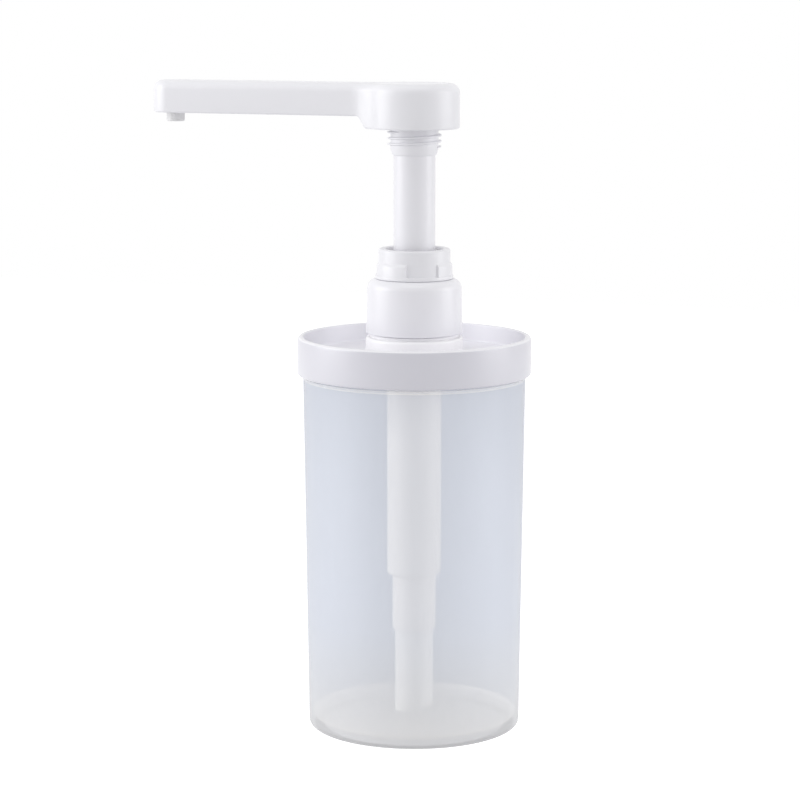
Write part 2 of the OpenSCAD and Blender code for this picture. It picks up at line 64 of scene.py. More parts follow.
Point = tuple[float, float, float]
Colour = tuple[float, float, float]
Span = tuple[float, float]
Profile = list[tuple[float, float]]
Object = bpy.types.Object
Socket = bpy.types.NodeSocket
Value = Union[float, int, bool, tuple, bpy.types.Material, Socket]
Inputs = dict[Union[str, int], Value]

MM = 0.001
FULL_TURN = 360.0
WHITE_LIGHT = (1.0, 1.0, 1.0, 1.0)

# Points closer than the weld are one, and radii below the pole lie on the axis, both in millimetres
WELD = 1e-4
POLE = 1e-6

# An edge that turns by more than this, in degrees, stays sharp
SHARP_ANGLE = 32.0

# Shares of a face's normal from which it counts as looking to the axis, up, or aslant
LOOKS_IN = 0.1
LOOKS_UP = 0.5
ASLANT = 0.2

# Sizes in millimetres that more than one piece shares
GUIDE_R = 9.06
PISTON_Z = 168.5
PISTON_TOP_Z = 180.4
LID_PITCH = 3.0
LID_RIDGE = 1.2
NECK_PITCH = 3.2
NECK_RIDGE = 1.28
LOCK_PITCH = 2.5
LOCK_RIDGE = 1.25


class Body(Enum):
    """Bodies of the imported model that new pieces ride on."""

    JAR = "jar"
    LID = "lid"
    PUMP = "pump"
    CLOSURE = "closure"
    PLUNGER = "plunger"


class Slot(Enum):
    """Material slot names, which a piece's role carries."""

    JAR = "translucent_jar"
    WHITE = "white_plastic"
    NATURAL = "natural_plastic"
    TUBE = "tube_plastic"
    STEEL = "steel"


class Join(Enum):
    """How one shell is worked into another."""

    ADD = "UNION"
    CUT = "DIFFERENCE"


class Side(Enum):
    """Which way a thread's ridge stands off its wall."""

    OUTER = 1.0
    INNER = -1.0


class JarZone(IntEnum):
    """Zones of the jar's faces, numbered as its finishes are."""

    WALL = 0
    INSIDE = 1
    FLOOR = 2
    FOOT = 3
    BEAD = 4


class LidZone(IntEnum):
    """Zones of the lid's faces, numbered as its finishes are."""

    REST = 0
    SKIRT = 1
    BOSS = 2
    DISH = 3


class CollarZone(IntEnum):
    """Zones of the collar's faces, numbered as its finishes are."""

    REST = 0
    CUP = 1


# Node helpers

# A Mix node's colour sockets, by number because its other kinds share their names
MIX_A = 6
MIX_B = 7
MIX_RESULT = 2


@dataclass(frozen=True)
class Wiring:
    """Adds nodes to a tree and wires them up."""

    tree: bpy.types.NodeTree

    def feed(self, node: bpy.types.Node, values: Inputs) -> None:
        """Gives a node its inputs.

        Args:
            node: The node.
            values: Inputs by name or number. A socket is linked, and anything else is set.
        """
        for name, value in values.items():
            if isinstance(value, Socket):
                self.tree.links.new(value, node.inputs[name])
            else:
                node.inputs[name].default_value = value

    def node(self, kind: str, values: Inputs | None = None, **settings: str) -> bpy.types.Node:
        """Adds one node.

        Args:
            kind: The node's type name.
            values: Its inputs, as feed takes them.
            settings: Properties of the node itself.

        Returns:
            The new node.
        """
        made = self.tree.nodes.new(kind)
        for name, value in settings.items():
            setattr(made, name, value)
        self.feed(made, values or {})
        return made

    def math(self, operation: str, first: Value, second: Value) -> Socket:
        """Result of one sum."""
        return self.node("ShaderNodeMath", {0: first, 1: second}, operation=operation).outputs[0]

    def vector(self, **parts: Value) -> Socket:
        """Vector of the named parts X, Y and Z."""
        return self.node("ShaderNodeCombineXYZ", parts).outputs[0]

    def noise(self, place: Socket, scale: float, detail: float) -> Socket:
        """Noise between 0 and 1."""
        values = {"Vector": place, "Scale": scale, "Detail": detail}
        return self.node("ShaderNodeTexNoise", values).outputs["Fac"]

    def ramp(
        self, value: Socket, source: tuple[Value, Value], target: Span = (0.0, 1.0), **settings: str,
    ) -> Socket:
        """Maps one range of values to another, and holds what lies outside it.

        Args:
            value: What is mapped.
            source: Ends of the range that it comes from.
            target: Ends of the range that it goes to.
            settings: Properties of the node.

        Returns:
            The mapped value.
        """
        values = {
            "Value": value, "From Min": source[0], "From Max": source[1],
            "To Min": target[0], "To Max": target[1],
        }
        return self.node("ShaderNodeMapRange", values, **settings).outputs["Result"]

    def mix(self, share: Socket, first: Colour, second: Colour | Socket) -> Socket:
        """Mixes two colours.

        Args:
            share: 0 for the first colour and 1 for the second.
            first: The first colour.
            second: The second colour, or the socket that gives it.

        Returns:
            The mixed colour.
        """
        other = second if isinstance(second, Socket) else (*second, 1.0)
        values = {"Factor": share, MIX_A: (*first, 1.0), MIX_B: other}
        return self.node("ShaderNodeMix", values, data_type="RGBA").outputs[MIX_RESULT]


# Finishes

# Noise in a finish: its detail, the values it mostly lies between, and the grain's height in metres
MOTTLE_DETAIL = 3.0
GLOSS_DETAIL = 4.0
GRAIN_DETAIL = 2.0
NOISE_SPAN = (0.3, 0.7)
GRAIN_HEIGHT = 0.0003


@dataclass(frozen=True)
class Finish:
    """A procedural surface: soft mottling, uneven gloss and a fine grain, all in Object coordinates.

    Scales are in cycles per metre. A stretch above 1 along Z packs the pattern, and below 1 draws it
    into streaks. A foot colour takes over from the other two towards the floor, over the heights of
    the foot span in metres.
    """

    name: str
    colour: Colour
    shade: Colour
    roughness: Span
    mottle: float = 26.0
    gloss_scale: float = 140.0
    grain: float = 1500.0
    grain_depth: float = 0.02
    stretch: tuple[float, float, float] = (1.0, 1.0, 1.0)
    alpha: float = 1.0
    metallic: float = 0.0
    specular: float = 0.5
    coat: float = 0.0
    coat_roughness: float = 0.2
    foot: Colour | None = None
    foot_span: Span = (0.004, 0.05)

    def material(self) -> bpy.types.Material:
        """Makes the material.

        Returns:
            The material, or the one made before.
        """
        known = bpy.data.materials.get(self.name)
        if known is not None:
            return known
        made = bpy.data.materials.new(self.name)
        made.use_nodes = True
        made.diffuse_color = (*self.colour, self.alpha)
        self.wire(Wiring(made.node_tree), made.node_tree.nodes["Principled BSDF"])
        return made

    def wire(self, wiring: Wiring, shader: bpy.types.Node) -> None:
        """Sets what is the same all over, and drives colour, roughness and normal from noise.

        Args:
            wiring: The material's wiring.
            shader: Its Principled node.
        """
        place = wiring.node("ShaderNodeTexCoord").outputs["Object"]
        mapping = wiring.node("ShaderNodeMapping", {"Vector": place, "Scale": self.stretch})
        drawn = mapping.outputs["Vector"]
        tone = wiring.mix(wiring.noise(drawn, self.mottle, MOTTLE_DETAIL), self.colour, self.shade)
        if self.foot is not None:
            height = wiring.node("ShaderNodeSeparateXYZ", {"Vector": place}).outputs["Z"]
            tone = wiring.mix(wiring.ramp(height, self.foot_span), self.foot, tone)
        gloss = wiring.noise(drawn, self.gloss_scale, GLOSS_DETAIL)
        grain = wiring.noise(place, self.grain, GRAIN_DETAIL)
        bump = wiring.node(
            "ShaderNodeBump", {"Height": grain, "Strength": self.grain_depth, "Distance": GRAIN_HEIGHT})
        wiring.feed(shader, {
            "Metallic": self.metallic,
            "Alpha": self.alpha,
            "Specular IOR Level": self.specular,
            "Coat Weight": self.coat,
            "Coat Roughness": self.coat_roughness,
            "Base Color": tone,
            "Roughness": wiring.ramp(gloss, NOISE_SPAN, self.roughness),
            "Normal": bump.outputs["Normal"],
        })


WHITE = Finish("white_moulding", (0.846, 0.841, 0.876), (0.824, 0.819, 0.858), (0.3, 0.4), coat=0.35)
# A darker copy of the white moulding for the head and the collar: painted shade that tones down their
# lit sides.
HEAD = Finish(
    "white_head_moulding", (0.828, 0.824, 0.856), (0.806, 0.803, 0.838), (0.3, 0.4), coat=0.25)
# A lighter copy of the white moulding: painted bounce light on the lid's boss, and painted light
# against the shade inside the collar's cup.
BRIGHT = Finish("bright_white_moulding", (0.975, 0.968, 0.985), (0.955, 0.948, 0.97), (0.3, 0.4))
COVER = Finish(
    "white_cover_moulding", (0.868, 0.865, 0.895), (0.845, 0.841, 0.88), (0.28, 0.38), mottle=34.0)
# A lighter copy of the white moulding for the upward-facing dish: painted top light.
DISH = Finish("white_dish", (0.885, 0.878, 0.922), (0.865, 0.858, 0.904), (0.32, 0.42))
# A darker, glossier copy of the white moulding for the lid's skirt: painted shade on its front.
SKIRT = Finish(
    "white_lid_skirt", (0.67, 0.664, 0.722), (0.645, 0.639, 0.7), (0.34, 0.44),
    mottle=20.0, specular=0.9, coat=0.6, coat_roughness=0.28,
)
BARREL = Finish(
    "white_barrel_moulding", (0.985, 0.955, 0.925), (0.965, 0.935, 0.91), (0.34, 0.46), mottle=40.0)
NATURAL = Finish(
    "natural_polyethylene", (0.8, 0.8, 0.81), (0.765, 0.76, 0.765), (0.38, 0.55), mottle=60.0)
TUBE = Finish(
    "milky_tube", (0.95, 0.935, 0.915), (0.92, 0.905, 0.89), (0.3, 0.45), stretch=(1.0, 1.0, 0.08))
JAR_WALL = Finish(
    "jar_wall", (0.78, 0.828, 0.945), (0.745, 0.793, 0.905), (0.28, 0.4),
    mottle=70.0, stretch=(1.0, 1.0, 0.05), alpha=0.46, foot=(0.77, 0.775, 0.8),
)
JAR_INSIDE = Finish(
    "jar_wall_inside", (0.8, 0.84, 0.9), (0.76, 0.8, 0.87), (0.34, 0.5),
    mottle=90.0, stretch=(1.0, 1.0, 0.05), alpha=0.1,
)
# A denser, lighter milky film for the jar's floor and inner fillet: painted light over the shade
# beneath the jar.
JAR_FLOOR = Finish(
    "jar_floor", (0.96, 0.94, 0.92), (0.93, 0.91, 0.89), (0.36, 0.5), mottle=60.0, alpha=0.55)
# A darker, denser film for the foot ring: thicker plastic, and painted contact shade along the bottom.
JAR_FOOT = Finish(
    "jar_foot", (0.68, 0.68, 0.7), (0.64, 0.64, 0.66), (0.3, 0.42), mottle=80.0, alpha=0.52)
# A near-white film on the bead's rounded edges: painted highlight.
JAR_BEAD = Finish("jar_bead_edge", (0.97, 0.975, 0.99), (0.95, 0.955, 0.975), (0.2, 0.3), alpha=0.55)
SEAL = Finish(
    "soft_seal", (0.7, 0.71, 0.72), (0.64, 0.65, 0.665), (0.6, 0.8), grain=900.0, grain_depth=0.2)
STEEL = Finish("plain_stainless", (0.62, 0.625, 0.64), (0.52, 0.525, 0.545), (0.14, 0.3), metallic=1.0)


# Mesh helpers


def arc(x: float, y: float, radius: float, start: float, end: float, steps: int) -> Profile:
    """Points of an arc.

    Args:
        x: Centre across.
        y: Centre up.
        radius: Its radius.
        start: First angle in degrees.
        end: Last angle in degrees.
        steps: Number of chords.

    Returns:
        The points, both ends among them.
    """
    turns = [math.radians(start + (end - start) * i / steps) for i in range(steps + 1)]
    return [(x + radius * math.cos(a), y + radius * math.sin(a)) for a in turns]


def corner(r: float, z: float, edge: float, start: float, end: float, steps: int) -> Profile:
    """Rounded corner of a section.

    Args:
        r: Radius at which its two sides would meet.
        z: Height at which they would meet.
        edge: Radius of the rounding.
        start: First angle of the quarter turn, in degrees.
        end: Last angle in degrees.
        steps: Number of chords.

    Returns:
        The (radius, height) points, both ends among them.
    """
    middle = math.radians((start + end) / 2)
    centre_r = r - math.copysign(edge, math.cos(middle))
    centre_z = z - math.copysign(edge, math.sin(middle))
    return arc(centre_r, centre_z, edge, start, end, steps)


def even_angles(steps: int) -> list[float]:
    """Angles of a full turn in even steps, in degrees."""
    return [FULL_TURN * i / steps for i in range(steps)]


def quarter_turn(steps: int) -> list[float]:
    """Angles of a quarter turn in even steps, both ends among them, in radians."""
    return [math.radians(FULL_TURN / 4 * i / steps) for i in range(steps + 1)]


def ease(share: float) -> float:
    """Smooth rise from 0 to 1, level on both sides."""
    t = min(1.0, max(0.0, share))
    return t * t * (3 - 2 * t)


def placed(name: str, data: bpy.types.ID) -> Object:
    """New object in the scene, at the origin.

    Args:
        name: Name of the object.
        data: Its mesh, lamp or camera data.

    Returns:
        The object.
    """
    made = bpy.data.objects.new(name, data)
    bpy.context.scene.collection.objects.link(made)
    return made


def face_outwards(mesh: bpy.types.Mesh) -> None:
    """Merges doubles and turns all faces of a closed shell outwards.

    Args:
        mesh: The shell.
    """
    shell = bmesh.new()
    shell.from_mesh(mesh)
    bmesh.ops.remove_doubles(shell, verts=shell.verts, dist=WELD)
    bmesh.ops.recalc_face_normals(shell, faces=shell.faces)
    shell.to_mesh(mesh)
    shell.free()


def shell_object(name: str, points: Sequence[Point], faces: Sequence[Sequence[int]]) -> Object:
    """Object with a closed shell, in millimetres until it is settled.

    Args:
        name: Name of the piece.
        points: Its corners.
        faces: Its faces, by corner number.

    Returns:
        The object.
    """
    mesh = bpy.data.meshes.new(name)
    mesh.from_pydata(points, [], faces)
    face_outwards(mesh)
    return placed(name, mesh)


def polar_loft(name: str, section_at: Callable[[float], Profile], angles: Sequence[float]) -> Object:
    """Closed shell round the Z axis from a section that may change with the angle.

    Args:
        name: Name of the piece.
        section_at: Gives the (radius, height) points at an angle in degrees, always as many.
        angles: The angles of the rows, in degrees.

    Returns:
        The object. Points on the axis are poles, and a section that stays off it closes on itself.
    """
    points: list[Point] = []
    rows: list[list[int]] = []
    poles: dict[int, int] = {}
    for angle in angles:
        c, s = math.cos(math.radians(angle)), math.sin(math.radians(angle))
        row = []
        for j, (r, z) in enumerate(section_at(angle)):
            if r < POLE and j in poles:
                row.append(poles[j])
                continue
            if r < POLE:
                poles[j] = len(points)
            row.append(len(points))
            points.append((r * c, r * s, z))
        rows.append(row)
    count = len(rows[0])
    spans = range(count - 1 if poles else count)
    faces = []
    for k, row in enumerate(rows):
        following = rows[(k + 1) % len(rows)]
        for j in spans:
            m = (j + 1) % count
            corners = list(dict.fromkeys((row[j], following[j], following[m], row[m])))
            if len(corners) > 2:
                faces.append(corners)
    return shell_object(name, points, faces)


def revolve(name: str, section: Profile, rows: int) -> Object:
    """Turned shell from one section of (radius, height) points, with so many rows round the axis."""
    return polar_loft(name, lambda _: section, even_angles(rows))


def stacked_loft(name: str, rings: Sequence[Sequence[Point]], half: int) -> Object:
    """Closed shell through a stack of rings that mirror about the XZ plane.

    Args:
        name: Name of the piece.
        rings: The rings from one end to the other, each with as many points.
        half: Points from the ring's first to its middle one, both counted.

    Returns:
        The object, closed at both ends by strips from each point to its mirror image.
    """
    count = len(rings[0])
    faces = []
    for k in range(len(rings) - 1):
        for i in range(count):
            j = (i + 1) % count
            faces.append((k * count + i, k * count + j, (k + 1) * count + j, (k + 1) * count + i))
    for first in (0, (len(rings) - 1) * count):
        for i in range(half - 1):
            mirrored = (count - i - 1, (count - i) % count)
            corners = list(dict.fromkeys((i, i + 1, *mirrored)))
            faces.append([first + c for c in corners])
    return shell_object(name, [p for ring in rings for p in ring], faces)


def block(name: str, low: Point, high: Point) -> Object:
    """Six-sided shell, used only to work other shells.

    Args:
        name: Name of the tool.
        low: Its lowest corner.
        high: Its highest corner.

    Returns:
        The object.
    """
    xs, ys, zs = zip(low, high)
    points = [(x, y, z) for x in xs for y in ys for z in zs]
    faces = [(0, 1, 3, 2), (4, 6, 7, 5), (0, 4, 5, 1), (2, 3, 7, 6), (0, 2, 6, 4), (1, 5, 7, 3)]
    return shell_object(name, points, faces)


def plug(name: str, radius: float, low: float, high: float, rows: int) -> Object:
    """Round bar on the Z axis, used only to work other shells."""
    return revolve(name, [(0.0, low), (radius, low), (radius, high), (0.0, high)], rows)


def shift(obj: Object, by: Matrix) -> Object:
    """Moves a shell in its mesh, so that its object stays at the origin."""
    obj.data.transform(by)
    return obj


def plain_mesh(obj: Object) -> None:
    """Turns what an object's modifiers make into its own plain mesh.

    Args:
        obj: The object, which has no modifier afterwards.
    """
    graph = bpy.context.evaluated_depsgraph_get()
    made = bpy.data.meshes.new_from_object(obj.evaluated_get(graph), depsgraph=graph)
    obj.modifiers.clear()
    old = obj.data
    obj.data = made
    bpy.data.meshes.remove(old)
    made.name = obj.name


def work(target: Object, tool: Object, how: Join) -> None:
    """Adds a tool shell to a piece or cuts it away, and uses the tool up.

    Args:
        target: The piece.
        tool: The shell that is worked in.
        how: Whether it is added or cut.

    Raises:
        RuntimeError: If nothing is left of the piece.
    """
    step = target.modifiers.new(how.name.lower(), "BOOLEAN")
    step.operation = how.value
    step.object = tool
    step.solver = "MANIFOLD"
    plain_mesh(target)
    bpy.data.objects.remove(tool)
    if not target.data.polygons:
        raise RuntimeError(f"{target.name}: nothing is left after a {how.name.lower()}")


# Geometry node trees

# Chords of a ridge's softened edges, the share of its size at both ends, and sides of the spring's wire
RIDGE_CHORDS = 3
RIDGE_END = 0.3
WIRE_SIDES = 12


@dataclass(frozen=True)
class TreeInput:
    """A named input of a Geometry Nodes tree."""

    name: str
    kind: str = "NodeSocketFloat"


HELIX_INPUTS = (
    TreeInput("Radius"), TreeInput("Pitch"), TreeInput("Turns"), TreeInput("Start Angle"),
    TreeInput("Start Height"), TreeInput("Points Per Turn", "NodeSocketInt"),
    TreeInput("Material", "NodeSocketMaterial"),
)


def helix_tree(name: str, extra: Sequence[str]) -> tuple[Wiring, dict[str, Socket]]:
    """Starts the tree of a shape that follows a helix.

    Args:
        name: Name of the tree.
        extra: Names of its inputs besides those of the helix.

    Returns:
        The tree's wiring and its input sockets by name.
    """
    tree = bpy.data.node_groups.new(name, "GeometryNodeTree")
    for item in (*HELIX_INPUTS, *(TreeInput(e) for e in extra)):
        tree.interface.new_socket(item.name, in_out="INPUT", socket_type=item.kind)
    tree.interface.new_socket("Geometry", in_out="OUTPUT", socket_type="NodeSocketGeometry")
    group = tree.nodes.new("NodeGroupInput")
    return Wiring(tree), {s.name: s for s in group.outputs if s.name}


def helix(wiring: Wiring, given: dict[str, Socket]) -> Socket:
    """Right-hand helix round the Z axis with upright normals.

    Args:
        wiring: The tree's wiring.
        given: Its input sockets, those of the helix among them.

    Returns:
        The curve's socket.
    """
    spiral = wiring.node("GeometryNodeCurveSpiral", {
        "Resolution": given["Points Per Turn"],
        "Rotations": given["Turns"],
        "Start Radius": given["Radius"],
        "End Radius": given["Radius"],
        "Height": wiring.math("MULTIPLY", given["Pitch"], given["Turns"]),
        "Reverse": True,
    })
    turn = wiring.node("FunctionNodeEulerToRotation", {0: wiring.vector(Z=given["Start Angle"])})
    moved = wiring.node("GeometryNodeTransform", {
        "Geometry": spiral.outputs[0],
        "Translation": wiring.vector(Z=given["Start Height"]),
        "Rotation": turn.outputs[0],
    })
    upright = wiring.node("GeometryNodeSetCurveNormal", {"Curve": moved.outputs[0]}, mode="Z_UP")
    return upright.outputs[0]


def close_tree(wiring: Wiring, shape: Socket, material: Socket) -> bpy.types.NodeTree:
    """Ends a tree in real geometry with its material.

    Args:
        wiring: The tree's wiring.
        shape: Socket of the finished shape.
        material: Socket of the material input.

    Returns:
        The tree.
    """
    real = wiring.node("GeometryNodeRealizeInstances", {"Geometry": shape})
    values = {"Geometry": real.outputs[0], "Material": material}
    dressed = wiring.node("GeometryNodeSetMaterial", values)
    wiring.node("NodeGroupOutput", {0: dressed.outputs[0]})
    return wiring.tree


def thread_tree() -> bpy.types.NodeTree:
    """Tree of a thread ridge: a trapezoid with softened edges along a helix, which fades at both ends.

    Returns:
        The tree, made once.
    """
    known = bpy.data.node_groups.get("thread_ridge")
    if known is not None:
        return known
    extra = ("Height", "Sink", "Side", "Foot Width", "Crest Width", "Edge Radius", "Fade")
    wiring, given = helix_tree("thread_ridge", extra)
    section = wiring.node("GeometryNodeCurvePrimitiveQuadrilateral", {
        "Bottom Width": given["Foot Width"],
        "Top Width": given["Crest Width"],
        "Offset": 0.0,
        "Height": wiring.math("ADD", given["Height"], given["Sink"]),
    }, mode="TRAPEZOID")
    soft = wiring.node("GeometryNodeFilletCurve", {
        "Curve": section.outputs[0],
        "Count": RIDGE_CHORDS,
        "Radius": given["Edge Radius"],
        "Limit Radius": True,
    }, mode="POLY")
    middle = wiring.math("MULTIPLY", wiring.math("SUBTRACT", given["Height"], given["Sink"]), 0.5)
    quarter = wiring.node("FunctionNodeEulerToRotation", {0: (0.0, 0.0, -math.pi / 2)})
    turned = wiring.node("GeometryNodeTransform", {
        "Geometry": soft.outputs[0],
        "Translation": wiring.vector(X=wiring.math("MULTIPLY", middle, given["Side"])),
        "Rotation": quarter.outputs[0],
        "Scale": wiring.vector(X=1.0, Y=given["Side"], Z=1.0),
    })
    along = wiring.node("GeometryNodeSplineParameter").outputs["Factor"]
    from_end = wiring.math("PINGPONG", along, 0.5)
    ridge = wiring.node("GeometryNodeCurveToMesh", {
        "Curve": helix(wiring, given),
        "Profile Curve": turned.outputs[0],
        "Scale": wiring.ramp(from_end, (0.0, given["Fade"]), (RIDGE_END, 1.0)),
        "Fill Caps": True,
    })
    return close_tree(wiring, ridge.outputs[0], given["Material"])


def coil_tree() -> bpy.types.NodeTree:
    """Tree of a coil spring: round wire along a helix.

    Returns:
        The tree.
    """
    wiring, given = helix_tree("coil_spring", ("Wire Radius",))
    wire = wiring.node(
        "GeometryNodeCurvePrimitiveCircle", {"Resolution": WIRE_SIDES, "Radius": given["Wire Radius"]})
    coil = wiring.node(
        "GeometryNodeCurveToMesh",
        {"Curve": helix(wiring, given), "Profile Curve": wire.outputs[0], "Fill Caps": True},
    )
    return close_tree(wiring, coil.outputs[0], given["Material"])


def grow(name: str, tree: bpy.types.NodeTree, sizes: dict[str, Value]) -> Object:
    """Runs a tree once and keeps what it makes as a plain shell.

    Args:
        name: Name of the object.
        tree: The tree.
        sizes: A value for each named input.

    Returns:
        The object, with no modifier left.
    """
    made = placed(name, bpy.data.meshes.new(name))
    step = made.modifiers.new("grow", "NODES")
    step.node_group = tree
    for item in tree.interface.items_tree:
        if item.in_out == "INPUT":
            step[item.identifier] = sizes[item.name]
    plain_mesh(made)
    face_outwards(made.data)
    return made


@dataclass(frozen=True)
class Thread:
    """One ridge of a screw thread, in millimetres and degrees.

    Crest and edge are shares of the ridge's width at the wall. It is sunk into the wall to join it.
    """

    wall: float
    crest: float
    width: float
    pitch: float
    start_z: float
    start: float
    end: float
    crest_share: float = 0.5
    edge_share: float = 0.125
    sink: float = 0.4
    fade: float = 30.0
    points_per_turn: int = 96

    @property
    def side(self) -> Side:
        """Outer or inner ridge."""
        return Side.OUTER if self.crest > self.wall else Side.INNER

    def ridge(self, finish: Finish) -> Object:
        """Makes the ridge.

        Args:
            finish: Finish of the piece that it is worked into.

        Returns:
            The ridge's shell.
        """
        span = self.end - self.start
        height = abs(self.crest - self.wall)
        crest_width = self.width * self.crest_share
        return grow("ridge", thread_tree(), {
            "Radius": self.wall,
            "Pitch": self.pitch,
            "Turns": span / FULL_TURN,
            "Start Angle": math.radians(self.start),
            "Start Height": self.start_z + self.pitch * self.start / FULL_TURN,
            "Points Per Turn": self.points_per_turn,
            "Material": finish.material(),
            "Height": height,
            "Sink": self.sink,
            "Side": self.side.value,
            "Foot Width": self.width + (self.width - crest_width) * self.sink / height,
            "Crest Width": crest_width,
            "Edge Radius": self.width * self.edge_share,
            "Fade": self.fade / span,
        })


# Settling and dressing a piece


@dataclass(frozen=True)
class Role:
    """Where a piece belongs: its body, the CAD node that it stands for and its material slot."""

    body: Body
    node: str
    slot: Slot


def triangles(mesh: bpy.types.Mesh) -> int:
    """Number of triangles of a mesh."""
    return sum(len(p.vertices) - 2 for p in mesh.polygons)


def settle(obj: Object, role: Role, finishes: Sequence[Finish]) -> Object:
    """Brings a finished shell to metres, shades it, dresses it and hangs it on its body.

    Args:
        obj: The shell, in millimetres.
        role: Where it belongs.
        finishes: Its finishes. The first one covers it all.

    Returns:
        The same object.
    """
    mesh = obj.data
    mesh.transform(Matrix.Scale(MM, 4))
    mesh.shade_smooth()
    mesh.set_sharp_from_angle(angle=math.radians(SHARP_ANGLE))
    mesh.materials.clear()
    for finish in finishes:
        mesh.materials.append(finish.material())
    mesh.polygons.foreach_set("material_index", [0] * len(mesh.polygons))
    mesh.update()
    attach(obj, role.body.value)
    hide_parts(role.node)
    low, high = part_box(role.node)
    sides = zip(zip(*obj.bound_box), low, high)
    off = max(max(abs(min(own) - least), abs(max(own) - most)) for own, least, most in sides)
    log.info("%s: %d triangles, box off its node by %.2f mm", obj.name, triangles(mesh), off / MM)
    return obj


@dataclass(frozen=True)
class FaceView:
    """How a face lies round the axis.

    Its distance from the axis and its height are in millimetres. Inwards and up are the shares of its
    normal that point to the axis and upwards.
    """

    out: float
    height: float
    inwards: float
    up: float


def paint(piece: Object, zone_of: Callable[[FaceView], int]) -> None:
    """Gives each face of a settled piece the finish of its zone.

    Args:
        piece: The piece.
        zone_of: Gives a face's zone, which is the number of its finish.
    """
    for face in piece.data.polygons:
        centre, normal = face.center, face.normal
        out = math.hypot(centre.x, centre.y) / MM
        inwards = -(centre.x * normal.x + centre.y * normal.y) / MM / max(out, POLE)
        face.material_index = zone_of(FaceView(out, centre.z / MM, inwards, normal.z))


def let_light_through(piece: Object) -> None:
    """Stands for a thin milky wall: the piece casts no shadow, and bounced light passes it by."""
    piece.visible_shadow = False
    piece.visible_diffuse = False


# Sub-assemblies


@dataclass
class Jar:
    """The tapering translucent jar with its foot ring and threaded mouth."""

    top_r: float = 48.0
    base_r: float = 46.1
    wall: float = 1.8
    height: float = 154.5
    bead_h: float = 1.0
    bead_out: float = 0.4
    bead_edge: float = 0.5
    foot_h: float = 1.6
    foot_w: float = 4.5
    foot_r: float = 2.4
    foot_edge: float = 0.5
    foot_lean: float = 0.3
    floor_z: float = 4.0
    floor_r: float = 2.0
    mouth_r: float = 46.0
    mouth_in_r: float = 43.8
    mouth_z: float = 160.4
    mouth_wall: float = 2.2
    edge_r: float = 0.6
    root_r: float = 0.4
    rows: int = 192
    thread: Thread = Thread(
        wall=mouth_r, crest=47.5, width=LID_RIDGE, pitch=LID_PITCH,
        start_z=156.1, start=0.0, end=396.0)

    def section(self) -> Profile:
        """Section from under the foot, up the outside and down the inside.

        Returns:
            The (radius, height) points.
        """
        foot_in = self.base_r - self.foot_r - self.foot_w
        in_r = self.top_r - self.wall
        cone_z = self.height - self.mouth_wall
        bead_r, bead_z = self.top_r + self.bead_out, self.height - self.bead_h
        sole, edge = self.foot_edge, self.bead_edge
        return [
            (0.0, self.foot_h),
            *arc(foot_in - self.foot_h, self.foot_h - sole, sole, 90, 45, 3),
            *arc(foot_in + self.foot_lean, sole, sole, 225, 270, 3),
            *corner(self.base_r, 0.0, self.foot_r, -90, 0, 14),
            (self.top_r, bead_z - self.bead_out),
            *arc(bead_r - edge, bead_z + edge, edge, -45, 0, 4),
            *corner(bead_r, self.height, edge, 0, 90, 8),
            *corner(self.mouth_r, self.height, self.root_r, 270, 180, 4),
            *corner(self.mouth_r, self.mouth_z, self.edge_r, 0, 90, 6),
            *corner(self.mouth_in_r, self.mouth_z, self.edge_r, 90, 180, 6),
            (self.mouth_in_r, cone_z),
            (in_r, cone_z - (in_r - self.mouth_in_r)),
            *corner(self.base_r - self.wall, self.floor_z, self.floor_r, 0, -90, 8),
            (0.0, self.floor_z),
        ]

    def zone(self, face: FaceView) -> JarZone:
        """Zone of a face.

        Args:
            face: How the face lies.

        Returns:
            The zone.
        """
        looks_in = face.inwards > LOOKS_IN
        low = self.foot_h < face.height < self.floor_z + self.floor_r
        # Floor and inner fillet take the lighter film: painted light.
        if low and (looks_in or face.up > LOOKS_UP):
            return JarZone.FLOOR
        # The bead's rounded edges take the near-white film: painted highlight.
        if face.out > self.top_r and abs(face.up) > ASLANT:
            return JarZone.BEAD
        if looks_in and face.height > self.floor_z:
            return JarZone.INSIDE
        # Faces low on the foot take the darker film: painted contact shade.
        return JarZone.FOOT if face.height < self.foot_r else JarZone.WALL

    def build(self) -> list[Object]:
        """Makes the jar, which lets light through.

        Returns:
            Its one piece.
        """
        jar = revolve("jar_body", self.section(), self.rows)
        work(jar, self.thread.ridge(JAR_WALL), Join.ADD)
        # Floor, foot and bead edges take painted light, painted contact shade and a painted highlight.
        finishes = [JAR_WALL, JAR_INSIDE, JAR_FLOOR, JAR_FOOT, JAR_BEAD]
        settle(jar, Role(Body.JAR, "jar", Slot.JAR), finishes)
        paint(jar, self.zone)
        let_light_through(jar)
        return [jar]


